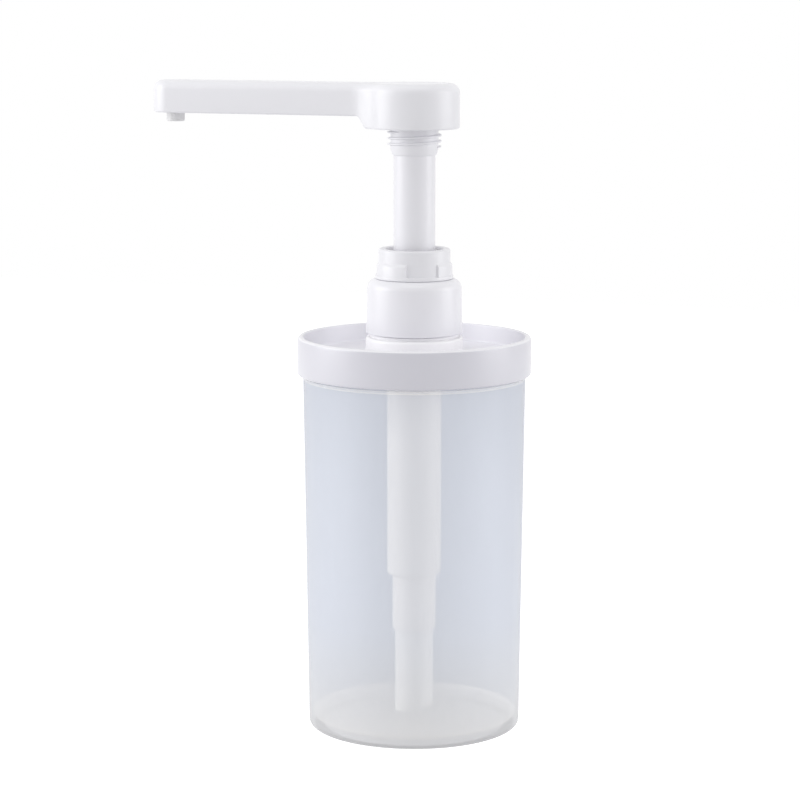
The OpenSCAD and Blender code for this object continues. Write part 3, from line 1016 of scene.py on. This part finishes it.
@dataclass
class Lid:
    """The white screw lid: skirt, raised rim, dish, boss and threaded neck."""

    radius: float = 50.4
    in_r: float = 48.0
    skirt_z: float = 155.3
    skirt_r: float = 0.6
    rim_z: float = 171.6
    rim_r: float = 1.3
    rim_in_r: float = 47.8
    inner_r: float = 0.6
    dish_z: float = 163.7
    fillet: float = 1.0
    under_z: float = 161.7
    boss_r: float = 21.0
    boss_z: float = 171.6
    boss_edge: float = 1.4
    step_r: float = 19.2
    step_z: float = 172.8
    neck_r: float = 16.6
    neck_top: float = 190.7
    neck_bore: float = 14.7
    neck_edge: float = 0.4
    rows: int = 192
    skirt_thread: Thread = Thread(
        wall=in_r, crest=46.5, width=LID_RIDGE, pitch=LID_PITCH,
        start_z=157.6, start=-150.0, end=200.0)
    neck_thread: Thread = Thread(
        wall=neck_r, crest=17.8, width=NECK_RIDGE, pitch=NECK_PITCH,
        start_z=176.6, start=0.0, end=792.0)

    def section(self) -> Profile:
        """Section from the skirt's foot over the rim, dish and boss to the neck and back underneath.

        Returns:
            The (radius, height) points.
        """
        return [
            (self.in_r, self.skirt_z),
            *corner(self.radius, self.skirt_z, self.skirt_r, -90, 0, 6),
            *corner(self.radius, self.rim_z, self.rim_r, 0, 90, 10),
            *corner(self.rim_in_r, self.rim_z, self.inner_r, 90, 180, 6),
            *corner(self.rim_in_r, self.dish_z, self.fillet, 0, -90, 8),
            *corner(self.boss_r, self.dish_z, self.fillet, 270, 180, 8),
            *corner(self.boss_r, self.boss_z, self.boss_edge, 0, 90, 10),
            (self.step_r, self.boss_z),
            (self.step_r, self.step_z),
            (self.neck_r, self.step_z),
            *corner(self.neck_r, self.neck_top, self.neck_edge, 0, 90, 4),
            (self.neck_bore, self.neck_top),
            (self.neck_bore, self.under_z),
            (self.in_r, self.under_z),
        ]

    def zone(self, face: FaceView) -> LidZone:
        """Zone of a face.

        Args:
            face: How the face lies.

        Returns:
            The zone.
        """
        # The skirt takes the darker copy of the white: painted shade.
        if face.out > self.radius - self.skirt_r and face.height < self.rim_z - self.rim_r / 2:
            return LidZone.SKIRT
        if face.out <= self.neck_r or face.height <= self.under_z:
            return LidZone.REST
        # The boss takes the lighter white: painted bounce light from the dish.
        if face.out < self.boss_r + self.fillet / 2 and face.height <= self.step_z:
            return LidZone.BOSS
        # The dish takes the lighter dish white: painted top light.
        return LidZone.DISH if face.out < self.rim_in_r + self.inner_r / 2 else LidZone.REST

    def build(self) -> list[Object]:
        """Makes the lid.

        Returns:
            Its one piece.
        """
        lid = revolve("screw_lid", self.section(), self.rows)
        for thread in (self.skirt_thread, self.neck_thread):
            work(lid, thread.ridge(WHITE), Join.ADD)
        # Skirt, boss and dish take painted shade, painted bounce light and painted top light.
        settle(lid, Role(Body.LID, "lid", Slot.WHITE), [WHITE, SKIRT, BRIGHT, DISH])
        paint(lid, self.zone)
        return [lid]


@dataclass
class Closure:
    """The screw cap that clamps the pump on the neck."""

    in_r: float = 18.3
    out_r: float = 20.4
    foot_r: float = 20.85
    hole_r: float = 12.44
    foot_z: float = 173.1
    under_z: float = 194.1
    top_z: float = 196.6
    shoulder: float = 4.2
    edge_r: float = 0.6
    rows: int = 144
    thread: Thread = Thread(
        wall=in_r, crest=17.1, width=NECK_RIDGE, pitch=NECK_PITCH,
        start_z=178.2, start=0.0, end=792.0)

    def section(self) -> Profile:
        """Section round the wall and the top.

        Returns:
            The (radius, height) points.
        """
        return [
            (self.in_r, self.foot_z),
            *corner(self.foot_r, self.foot_z, self.edge_r, -90, 0, 6),
            *corner(self.out_r, self.top_z, self.shoulder, 0, 90, 16),
            (self.hole_r, self.top_z),
            (self.hole_r, self.under_z),
            (self.in_r, self.under_z),
        ]

    def build(self) -> list[Object]:
        """Makes the closure.

        Returns:
            Its one piece.
        """
        cap = revolve("closure_cap", self.section(), self.rows)
        work(cap, self.thread.ridge(WHITE), Join.ADD)
        return [settle(cap, Role(Body.CLOSURE, "closure", Slot.WHITE), [WHITE])]


@dataclass
class Collar:
    """The lock collar: bottom ring, lugs with panels between them, upper tier and threaded cup.

    The shoulder leads from a lug in to the tier. Each of its points is a share of that step and a drop
    below the lug's top.
    """

    plug_r: float = 11.94
    plug_z: float = 183.5
    plug_edge: float = 0.5
    foot_z: float = 196.7
    top_z: float = 209.5
    ring_r: float = 16.8
    ring_h: float = 1.6
    ring_edge: float = 0.25
    lug_r: float = 16.4
    lug_h: float = 7.0
    shoulder: tuple[Span, ...] = ((0.0, 1.15), (0.12, 0.85), (0.82, 0.15), (1.0, -0.1))
    tier_r: float = 15.5
    tier_edge: float = 0.8
    cup_r: float = 12.15
    cup_z: float = 198.7
    cup_edge: float = 1.0
    cup_margin: float = 0.1
    panels: int = 3
    panel_r: float = 15.42
    panel_angle: float = 51.0
    panel_at: float = -57.0
    flank: float = 1.4
    flank_rows: int = 8
    rows: int = 120
    thread: Thread = Thread(
        wall=cup_r, crest=10.8, width=LOCK_RIDGE, pitch=LOCK_PITCH,
        start_z=199.95, start=0.0, end=835.2)

    def lug_share(self, angle: float) -> float:
        """How far the lugs stand out at an angle.

        Args:
            angle: Direction in degrees.

        Returns:
            1 on a lug, 0 on a panel, and in between on a flank.
        """
        period = FULL_TURN / self.panels
        off = abs((angle - self.panel_at + period / 2) % period - period / 2)
        return ease((off - self.panel_angle / 2) / self.flank + 0.5)

    def angles(self) -> list[float]:
        """Even angles, with extra rows on the flanks of the lugs.

        Returns:
            The angles in degrees, in order.
        """
        found = set(even_angles(self.rows))
        half = self.flank_rows // 2
        for k in range(self.panels):
            for side in (-0.5, 0.5):
                edge = self.panel_at + k * FULL_TURN / self.panels + side * self.panel_angle
                steps = range(-half, half + 1)
                found |= {(edge + self.flank * i / self.flank_rows) % FULL_TURN for i in steps}
        return sorted(found)

    def section(self, angle: float) -> Profile:
        """Section at an angle.

        Args:
            angle: Direction in degrees.

        Returns:
            The (radius, height) points.
        """
        out = self.panel_r + (self.lug_r - self.panel_r) * self.lug_share(angle)
        over = out - self.tier_r
        ring_top, lug_top = self.foot_z + self.ring_h, self.foot_z + self.lug_h
        return [
            (GUIDE_R, self.plug_z),
            *corner(self.plug_r, self.plug_z, self.plug_edge, -90, 0, 3),
            (self.plug_r, self.foot_z),
            *corner(self.ring_r, self.foot_z, self.ring_edge, -90, 0, 3),
            *corner(self.ring_r, ring_top, self.ring_edge, 0, 90, 3),
            (out, ring_top),
            *[(out - share * over, lug_top - drop) for share, drop in self.shoulder],
            *corner(self.tier_r, self.top_z, self.tier_edge, 0, 90, 8),
            *corner(self.cup_r, self.top_z, self.cup_edge, 90, 180, 5),
            (self.cup_r, self.cup_z),
            (GUIDE_R, self.cup_z),
        ]

    def zone(self, face: FaceView) -> CollarZone:
        """Zone of a face: inside the cup, or elsewhere."""
        # Faces inside the cup take the lighter white: painted light against the shade in the cup.
        in_cup = face.height >= self.cup_z and face.out < self.cup_r + self.cup_margin
        return CollarZone.CUP if in_cup else CollarZone.REST

    def build(self) -> Object:
        """Makes the collar.

        Returns:
            Its piece.
        """
        collar = polar_loft("lock_collar", self.section, self.angles())
        # The collar takes the darker copy of the white, painted shade, and its cup the lighter one,
        # painted light.
        work(collar, self.thread.ridge(HEAD), Join.ADD)
        settle(collar, Role(Body.PUMP, "collar", Slot.WHITE), [HEAD, BRIGHT])
        paint(collar, self.zone)
        return collar


@dataclass
class Pump:
    """What hangs in the jar: barrel, dip tube and return spring, with the collar on top."""

    collar: Collar = field(default_factory=Collar)
    barrel_r: float = 11.75
    barrel_z: float = 66.9
    barrel_edge: float = 1.2
    barrel_rows: int = 128
    bore_r: float = 10.25
    bore_z: float = 69.5
    bell_r: float = 12.0
    bell_out_r: float = 13.5
    bell_z: float = 180.9
    bell_floor: float = 1.5
    flange_r: float = 16.5
    flange_z: float = 192.0
    flange_top: float = 194.0
    flange_edge: float = 0.3
    valve_r: float = 9.45
    valve_z: float = 42.4
    valve_edge: float = 0.6
    socket_z: float = 59.8
    socket_gap: float = 0.06
    seat_z: float = 61.0
    inlet_r: float = 4.2
    inlet_room: float = 7.65
    vent_r: float = 0.9
    vent_rows: int = 24
    tube_r: float = 8.35
    tube_wall: float = 1.2
    tube_edge: float = 0.2
    tube_end: float = 5.2
    tube_top: float = 59.7
    tube_slant: float = 10.0
    tube_rows: int = 96
    spring_r: float = 8.25
    spring_wire: float = 0.7
    spring_turns: float = 14.0
    spring_low: float = 77.385
    spring_high: float = 164.6
    spring_foot: float = 76.7
    spring_keep: float = 0.566
    spring_points: int = 40

    def barrel_section(self) -> Profile:
        """Section of the barrel from its flange down the outside and back up the bore.

        Returns:
            The (radius, height) points.
        """
        bell_foot = self.bell_z - self.bell_floor
        slope = self.bell_out_r - self.barrel_r
        socket_r = self.tube_r + self.socket_gap
        return [
            (self.bell_r, self.flange_top),
            *corner(self.flange_r, self.flange_top, self.flange_edge, 90, 0, 3),
            *corner(self.flange_r, self.flange_z, self.flange_edge, 0, -90, 3),
            (self.bell_out_r, self.flange_z),
            (self.bell_out_r, bell_foot),
            (self.barrel_r, bell_foot - slope),
            *corner(self.barrel_r, self.barrel_z, self.barrel_edge, 0, -90, 8),
            (self.valve_r, self.barrel_z),
            *corner(self.valve_r, self.valve_z, self.valve_edge, 0, -90, 5),
            (socket_r, self.valve_z),
            (socket_r, self.socket_z),
            (self.inlet_r, self.socket_z),
            (self.inlet_r, self.seat_z),
            (self.inlet_room, self.seat_z + self.inlet_room - self.inlet_r),
            (self.inlet_room, self.bore_z),
            (self.bore_r, self.bore_z),
            (self.bore_r, self.bell_z),
            (self.bell_r, self.bell_z),
        ]

    def build_barrel(self) -> Object:
        """Makes the barrel with its vent hole.

        Returns:
            Its piece.
        """
        barrel = revolve("pump_barrel", self.barrel_section(), self.barrel_rows)
        vent = plug("vent", self.vent_r, 0.0, 2 * self.barrel_r, self.vent_rows)
        height = Matrix.Translation((0.0, 0.0, (PISTON_Z + PISTON_TOP_Z) / 2))
        work(barrel, shift(vent, height @ Matrix.Rotation(math.pi / 2, 4, "Y")), Join.CUT)
        return settle(barrel, Role(Body.PUMP, "barrel", Slot.WHITE), [BARREL])

    def tube_section(self, angle: float) -> Profile:
        """Section of the dip tube, whose cut end rises towards +X.

        Args:
            angle: Direction in degrees.

        Returns:
            The (radius, height) points.
        """
        slope = math.tan(math.radians(self.tube_slant))

        def cut(r: float) -> float:
            """Height of the slanted cut at a radius."""
            return self.tube_end + (r * math.cos(math.radians(angle)) + self.tube_r) * slope

        inner, edge = self.tube_r - self.tube_wall, self.tube_edge
        return [
            (inner, cut(inner) + edge),
            (inner + edge, cut(inner + edge)),
            (self.tube_r - edge, cut(self.tube_r - edge)),
            (self.tube_r, cut(self.tube_r) + edge),
            (self.tube_r, self.tube_top - edge),
            (self.tube_r - edge, self.tube_top),
            (inner + edge, self.tube_top),
            (inner, self.tube_top - edge),
        ]

    def build_tube(self) -> Object:
        """Makes the dip tube, which lets light through.

        Returns:
            Its piece.
        """
        tube = polar_loft("suction_tube", self.tube_section, even_angles(self.tube_rows))
        let_light_through(tube)
        return settle(tube, Role(Body.PUMP, "dip_tube", Slot.TUBE), [TUBE])

    def build_spring(self) -> Object:
        """Makes the return spring.

        Returns:
            Its piece.
        """
        spring = grow("return_spring", coil_tree(), {
            "Radius": self.spring_r,
            "Pitch": (self.spring_high - self.spring_low) / self.spring_turns,
            "Turns": self.spring_turns,
            "Start Angle": 0.0,
            "Start Height": self.spring_low,
            "Points Per Turn": self.spring_points,
            "Material": STEEL.material(),
            "Wire Radius": self.spring_wire,
        })
        settle(spring, Role(Body.PUMP, "spring", Slot.STEEL), [STEEL])
        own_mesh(spring)
        return spring

    def build(self) -> list[Object]:
        """Makes the barrel, the collar, the dip tube and the spring."""
        return [self.build_barrel(), self.collar.build(), self.build_tube(), self.build_spring()]


@dataclass
class Head:
    """The pump head: hub and arm in one moulding with the lock thread below, top cover and nozzle.

    The arm rows are distances before the point where the arm starts to widen to the hub. Tools that cut
    the head stand past its faces by one of the two cut sizes.
    """

    hub_r: float = 19.4
    hub_z: float = 260.8
    hub_steps: int = 40
    reach: float = 112.0
    arm_half: float = 9.5
    arm_z: float = 266.0
    arm_rows: tuple[float, ...] = (60.0, 30.0, 10.0, 4.0, 1.0)
    tip_steps: int = 24
    blend: float = 20.0
    blend_steps: int = 24
    under_near: float = 18.1
    under_far: float = 23.0
    under_r: float = 0.8
    under_steps: int = 6
    top_z: float = 280.0
    top_r: float = 4.0
    top_steps: int = 10
    cover_z: float = 277.8
    cover_edge: float = 4.5
    cover_gap: float = 0.1
    cover_r: float = 0.35
    cover_steps: int = 5
    pocket_edge: float = 0.15
    channel_z: float = 269.0
    channel_half: float = 3.0
    stem_bore: float = 6.0
    spigot_hole: float = 3.66
    cut_past: float = 1.0
    cut_near: float = 0.5
    cut_rows: int = 64
    nozzle_r: float = 4.0
    nozzle_bore: float = 2.8
    nozzle_spigot: float = 3.6
    nozzle_z: float = 262.0
    nozzle_lip: float = 0.2
    nozzle_edge: float = 0.5
    nozzle_rows: int = 72
    lock_r: float = 10.3
    lock_z: float = 249.6
    lock_rows: int = 96
    lock_sink: float = 1.5
    lead_h: float = 2.6
    lead_r: float = 9.6
    lead_edge: float = 0.3
    thread: Thread = Thread(
        wall=lock_r, crest=11.65, width=LOCK_RIDGE, pitch=LOCK_PITCH,
        start_z=252.825, start=0.0, end=968.4)

    def half_outline(self, inset: float) -> Profile:
        """Outline of the +Y half, from the arm's end to the back of the hub.

        Args:
            inset: Distance inside the widest outline.

        Returns:
            The (x, y) points.
        """
        centre_y = self.arm_half + self.blend
        centre_x = -math.sqrt((self.hub_r + self.blend) ** 2 - centre_y ** 2)
        meet = math.degrees(math.atan2(-centre_y, -centre_x))
        width = self.arm_half - inset
        return [
            *arc(-self.reach, 0.0, width, 180, 90, self.tip_steps),
            *[(centre_x - x, width) for x in self.arm_rows],
            *arc(centre_x, centre_y, self.blend + inset, -90, meet, self.blend_steps),
            *arc(0.0, 0.0, self.hub_r - inset, 180 + meet, 0, self.hub_steps)[1:],
        ]

    def outline(self, inset: float) -> Profile:
        """Whole outline, the second half mirrored."""
        half = self.half_outline(inset)
        return half + [(x, -y) for x, y in half[-2:0:-1]]

    def under(self, x: float) -> float:
        """Height of the underside: level under the arm, with an eased drop to the hub's bottom."""
        share = (-x - self.under_near) / (self.under_far - self.under_near)
        return self.hub_z + (self.arm_z - self.hub_z) * ease(share)

    def level(self, inset: float, z: float) -> list[Point]:
        """Ring at one height."""
        return [(x, y, z) for x, y in self.outline(inset)]

    def top_edge(self, inset: float, top: float, radius: float, steps: int) -> list[list[Point]]:
        """Rings of a rounded upper edge.

        Args:
            inset: Inset of the side below the edge.
            top: Height of the top.
            radius: Radius of the edge.
            steps: Number of steps over it.

        Returns:
            The rings, from the lowest to the top.
        """
        return [
            self.level(inset + radius * (1 - math.cos(turn)), top - radius * (1 - math.sin(turn)))
            for turn in quarter_turn(steps)
        ]

    def rings(self) -> list[list[Point]]:
        """Rings of the head from its underside over the top edge into the cover's pocket.

        Returns:
            The rings in order.
        """
        low = []
        for turn in quarter_turn(self.under_steps):
            rise = self.under_r * (1 - math.cos(turn))
            outline = self.outline(self.under_r * (1 - math.sin(turn)))
            low.append([(x, y, self.under(x) + rise) for x, y in outline])
        high = self.top_edge(0.0, self.top_z, self.top_r, self.top_steps)
        pocket = [
            self.level(self.cover_edge - self.pocket_edge, self.top_z),
            self.level(self.cover_edge, self.top_z - self.pocket_edge),
            self.level(self.cover_edge, self.cover_z),
        ]
        return low + high + pocket

    def stacked(self, name: str, rings: list[list[Point]]) -> Object:
        """Shell through rings of the head's outline."""
        return stacked_loft(name, rings, len(self.half_outline(0.0)))

    def sleeve(self) -> Object:
        """Makes the sleeve below the hub that carries the lock thread.

        Returns:
            Its shell, sunk into the hub.
        """
        top = self.hub_z + self.lock_sink
        return revolve("sleeve", [
            (0.0, self.lock_z),
            *corner(self.lead_r, self.lock_z, self.lead_edge, -90, 0, 4),
            (self.lock_r, self.lock_z + self.lead_h),
            (self.lock_r, top),
            (0.0, top),
        ], self.lock_rows)

    def cutters(self) -> list[Object]:
        """Makes the tools that cut the stem's socket, the flow channel and the nozzle's hole.

        Returns:
            The tools in order.
        """
        half, floor, rows = self.channel_half, self.channel_z, self.cut_rows
        roof = self.cover_z + self.cut_near
        at_tip = Matrix.Translation((-self.reach, 0.0, 0.0))
        spigot_low, spigot_high = self.arm_z - self.cut_past, floor + self.cut_past
        return [
            plug("socket", GUIDE_R, self.lock_z - self.cut_past, floor, self.lock_rows),
            block("channel", (-self.reach, -half, floor), (0.0, half, roof)),
            shift(plug("channel_end", half, floor, roof, rows), at_tip),
            plug("stem_bore", self.stem_bore, floor - self.cut_near, roof, rows),
            shift(plug("spigot", self.spigot_hole, spigot_low, spigot_high, rows), at_tip),
        ]

    def build_head(self) -> Object:
        """Makes the hub and arm with the lock thread, the stem's socket and the flow channel.

        Returns:
            Its piece.
        """
        head = self.stacked("pump_head", self.rings())
        for tool in (self.sleeve(), self.thread.ridge(HEAD)):
            work(head, tool, Join.ADD)
        for tool in self.cutters():
            work(head, tool, Join.CUT)
        # The head takes the darker copy of the white: painted shade.
        return settle(head, Role(Body.PLUNGER, "head", Slot.WHITE), [HEAD])

    def build_cover(self) -> Object:
        """Makes the inset top cover.

        Returns:
            Its piece.
        """
        inset, top = self.cover_edge + self.cover_gap, self.top_z - self.cover_gap
        edge = self.top_edge(inset, top, self.cover_r, self.cover_steps)
        cover = self.stacked("arm_cover", [self.level(inset, self.cover_z), *edge])
        return settle(cover, Role(Body.PLUNGER, "head_cover", Slot.WHITE), [COVER])

    def build_nozzle(self) -> Object:
        """Makes the nozzle under the arm's end.

        Returns:
            Its piece.
        """
        nozzle = revolve("outlet_nozzle", [
            *corner(self.nozzle_bore, self.nozzle_z, self.nozzle_lip, 180, 270, 3),
            *corner(self.nozzle_r, self.nozzle_z, self.nozzle_edge, -90, 0, 6),
            (self.nozzle_r, self.arm_z),
            (self.nozzle_spigot, self.arm_z),
            (self.nozzle_spigot, self.channel_z),
            (self.nozzle_bore, self.channel_z),
        ], self.nozzle_rows)
        shift(nozzle, Matrix.Translation((-self.reach, 0.0, 0.0)))
        return settle(nozzle, Role(Body.PLUNGER, "nozzle", Slot.NATURAL), [NATURAL])

    def build(self) -> list[Object]:
        """Makes the head, its cover and the nozzle."""
        return [self.build_head(), self.build_cover(), self.build_nozzle()]


@dataclass
class Stem:
    """The hollow rod that carries the head and the piston, with the web that stops the outlet ball."""

    radius: float = 9.0
    bore: float = 6.0
    seat_r: float = 7.6
    foot_gap: float = 0.1
    top_z: float = 268.9
    edge: float = 0.3
    groove_r: float = 7.54
    groove_z: float = 255.2
    groove_half: float = 0.8
    web_z: float = 186.1
    web_h: float = 2.0
    web_half: float = 0.9
    web_sink: float = 0.6
    rows: int = 128

    def section(self) -> Profile:
        """Section from the piston's seat up the outside and down the bore.

        Returns:
            The (radius, height) points.
        """
        foot = PISTON_TOP_Z + self.foot_gap
        groove_low, groove_high = self.groove_z - self.groove_half, self.groove_z + self.groove_half
        return [
            (self.bore, PISTON_Z),
            (self.seat_r, PISTON_Z),
            (self.seat_r, foot),
            *corner(self.radius, foot, self.edge, -90, 0, 4),
            (self.radius, groove_low),
            (self.groove_r, groove_low),
            (self.groove_r, groove_high),
            (self.radius, groove_high),
            *corner(self.radius, self.top_z, self.edge, 0, 90, 4),
            (self.bore, self.top_z),
        ]

    def build(self) -> list[Object]:
        """Makes the stem.

        Returns:
            Its one piece.
        """
        stem = revolve("pump_stem", self.section(), self.rows)
        reach = self.bore + self.web_sink
        low = (-reach, -self.web_half, self.web_z)
        high = (reach, self.web_half, self.web_z + self.web_h)
        work(stem, block("web", low, high), Join.ADD)
        return [settle(stem, Role(Body.PLUNGER, "stem", Slot.WHITE), [WHITE])]


@dataclass
class InnerParts:
    """The CAD nodes whose shapes stay, each with the finish that it gets."""

    finishes: dict[str, Finish] = field(default_factory=lambda: {
        "lid_gasket": SEAL, "neck_gasket": SEAL, "stem_seal": SEAL, "stem_oring": SEAL,
        "piston": NATURAL, "stem_foot": NATURAL, "ball_cage": NATURAL,
        "upper_ball": STEEL, "lower_ball": STEEL,
    })

    def dress(self) -> None:
        """Puts the finishes on the nodes."""
        for node, finish in self.finishes.items():
            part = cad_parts[node]
            if not part.material_slots:
                part.data.materials.append(finish.material())
            for place in part.material_slots:
                place.material = finish.material()
            log.info("%s: CAD node in %s", node, finish.name)


# Studio

# A ray's count of translucent faces is whole, so this parts none from one
ONE_VEIL = 0.5


@dataclass(frozen=True)
class Softbox:
    """A square area lamp aimed at the bottle.

    The angle is measured from the camera's side, to the right in the picture, in degrees. Lengths are
    in metres, and the power is in watts.
    """

    name: str
    angle: float
    distance: float
    height: float
    size: float
    power: float


@dataclass
class Studio:
    """White sweep, soft lamps and the camera of the photograph.

    Lengths are in metres and angles in degrees. Only the lens and the sensor are in millimetres.
    """

    azimuth: float = 20.0
    distance: float = 1.141
    camera_z: float = 0.324
    tilt: float = 8.99
    pan: float = 0.31
    lens: float = 119.9
    sensor: float = 36.0
    clip: Span = (0.05, 50.0)
    aim_z: float = 0.15
    fill: float = 0.57
    floor_size: float = 3.0
    floor_colour: Colour = (0.7, 0.7, 0.71)
    floor_roughness: float = 0.9
    floor_specular: float = 0.1
    floor_glow: float = 0.6
    floor_fade: Span = (0.45, 1.05)
    boxes: tuple[Softbox, ...] = (
        Softbox("lamp_left", angle=-87.0, distance=1.2, height=0.5, size=0.9, power=7.5),
        Softbox("lamp_right", angle=86.0, distance=1.2, height=0.4, size=0.8, power=4.6),
        Softbox("lamp_front", angle=2.0, distance=1.5, height=0.45, size=1.2, power=2.0),
        Softbox("lamp_top", angle=0.0, distance=0.25, height=1.5, size=1.0, power=4.0),
    )

    def towards(self, angle: float, distance: float, height: float) -> Vector:
        """Point round the bottle's axis.

        Args:
            angle: Degrees to the right of the camera.
            distance: Distance from the axis.
            height: Height above the floor.

        Returns:
            The point.
        """
        turn = math.radians(self.azimuth + angle)
        return Vector((math.sin(turn) * distance, -math.cos(turn) * distance, height))

    def make_camera(self) -> None:
        """Places the camera where the photograph was taken from."""
        data = bpy.data.cameras.new("photo_camera")
        data.lens, data.sensor_width = self.lens, self.sensor
        data.clip_start, data.clip_end = self.clip
        camera = placed("photo_camera", data)
        camera.location = self.towards(0.0, self.distance, self.camera_z)
        turns = (90 - self.tilt, 0.0, self.azimuth + self.pan)
        camera.rotation_euler = [math.radians(t) for t in turns]
        bpy.context.scene.camera = camera

    def make_lamps(self) -> None:
        """Hangs the softboxes."""
        for box in self.boxes:
            data = bpy.data.lights.new(box.name, "AREA")
            data.shape, data.size, data.energy = "SQUARE", box.size, box.power
            lamp = placed(box.name, data)
            lamp.location = self.towards(box.angle, box.distance, box.height)
            aim = Vector((0.0, 0.0, self.aim_z)) - lamp.location
            lamp.rotation_euler = aim.to_track_quat("-Z", "Y").to_euler()

    @staticmethod
    def rays(wiring: Wiring) -> tuple[Socket, Socket]:
        """Sorts the rays that show the background itself.

        Args:
            wiring: The wiring of the floor's material or of the world.

        Returns:
            1 for rays that met no translucent wall on the way, and 1 for rays that came through one.
        """
        path = wiring.node("ShaderNodeLightPath").outputs
        direct = wiring.math("MAXIMUM", path["Is Camera Ray"], path["Is Glossy Ray"])
        shown = wiring.math("MAXIMUM", direct, path["Is Transmission Ray"])
        veiled = wiring.math("GREATER_THAN", path["Transparent Depth"], ONE_VEIL)
        through = wiring.math("MULTIPLY", shown, veiled)
        return wiring.math("SUBTRACT", shown, through), through

    def make_world(self) -> None:
        """Surrounds the bottle with white that lights it at a plain level."""
        world = bpy.data.worlds.new("studio")
        bpy.context.scene.world = world
        world.use_nodes = True
        wiring = Wiring(world.node_tree)
        clear, _ = self.rays(wiring)
        level = wiring.ramp(clear, (0.0, 1.0), (self.fill, 1.0))
        wiring.feed(world.node_tree.nodes["Background"], {"Color": WHITE_LIGHT, "Strength": level})

    def floor_material(self) -> bpy.types.Material:
        """Makes the floor's material, which through the jar passes into the backdrop far off.

        Returns:
            The material.
        """
        made = bpy.data.materials.new("pale_floor")
        made.use_nodes = True
        nodes = made.node_tree.nodes
        wiring = Wiring(made.node_tree)
        clear, through = self.rays(wiring)
        shader = nodes["Principled BSDF"]
        wiring.feed(shader, {
            "Base Color": (*self.floor_colour, 1.0),
            "Roughness": self.floor_roughness,
            "Specular IOR Level": self.floor_specular,
            "Emission Color": WHITE_LIGHT,
            "Emission Strength": wiring.math("MULTIPLY", clear, self.floor_glow),
        })
        place = wiring.node("ShaderNodeTexCoord").outputs["Object"]
        away = wiring.node("ShaderNodeVectorMath", {0: place}, operation="LENGTH").outputs["Value"]
        fade = wiring.ramp(away, self.floor_fade, interpolation_type="SMOOTHSTEP")
        backdrop = wiring.node("ShaderNodeEmission", {"Strength": self.fill})
        share = wiring.math("MULTIPLY", through, fade)
        sides = {0: share, 1: shader.outputs[0], 2: backdrop.outputs[0]}
        blend = wiring.node("ShaderNodeMixShader", sides)
        wiring.feed(nodes["Material Output"], {"Surface": blend.outputs[0]})
        return made

    def make_floor(self) -> None:
        """Lays the pale floor, which keeps the bottle's shadow."""
        half = self.floor_size / 2
        corners = [(-half, -half, 0.0), (half, -half, 0.0), (half, half, 0.0), (-half, half, 0.0)]
        mesh = bpy.data.meshes.new("floor")
        mesh.from_pydata(corners, [], [(0, 1, 2, 3)])
        mesh.materials.append(self.floor_material())
        floor = placed("floor", mesh)

    def build(self) -> None:
        """Sets up camera, light and floor."""
        bpy.context.scene.view_settings.view_transform = "Standard"
        self.make_camera()
        self.make_world()
        self.make_lamps()
        self.make_floor()


def main() -> None:
    """Builds the studio and then each sub-assembly, and reports the pieces."""
    logging.basicConfig(level=logging.INFO, format="%(name)s %(message)s")
    Studio().build()
    for assembly in (Jar(), Lid(), Closure(), Pump(), Stem(), Head()):
        pieces = assembly.build()
        log.info("%s: %s", type(assembly).__name__, ", ".join(p.name for p in pieces))
    InnerParts().dress()


if __name__ == "__main__":
    main()
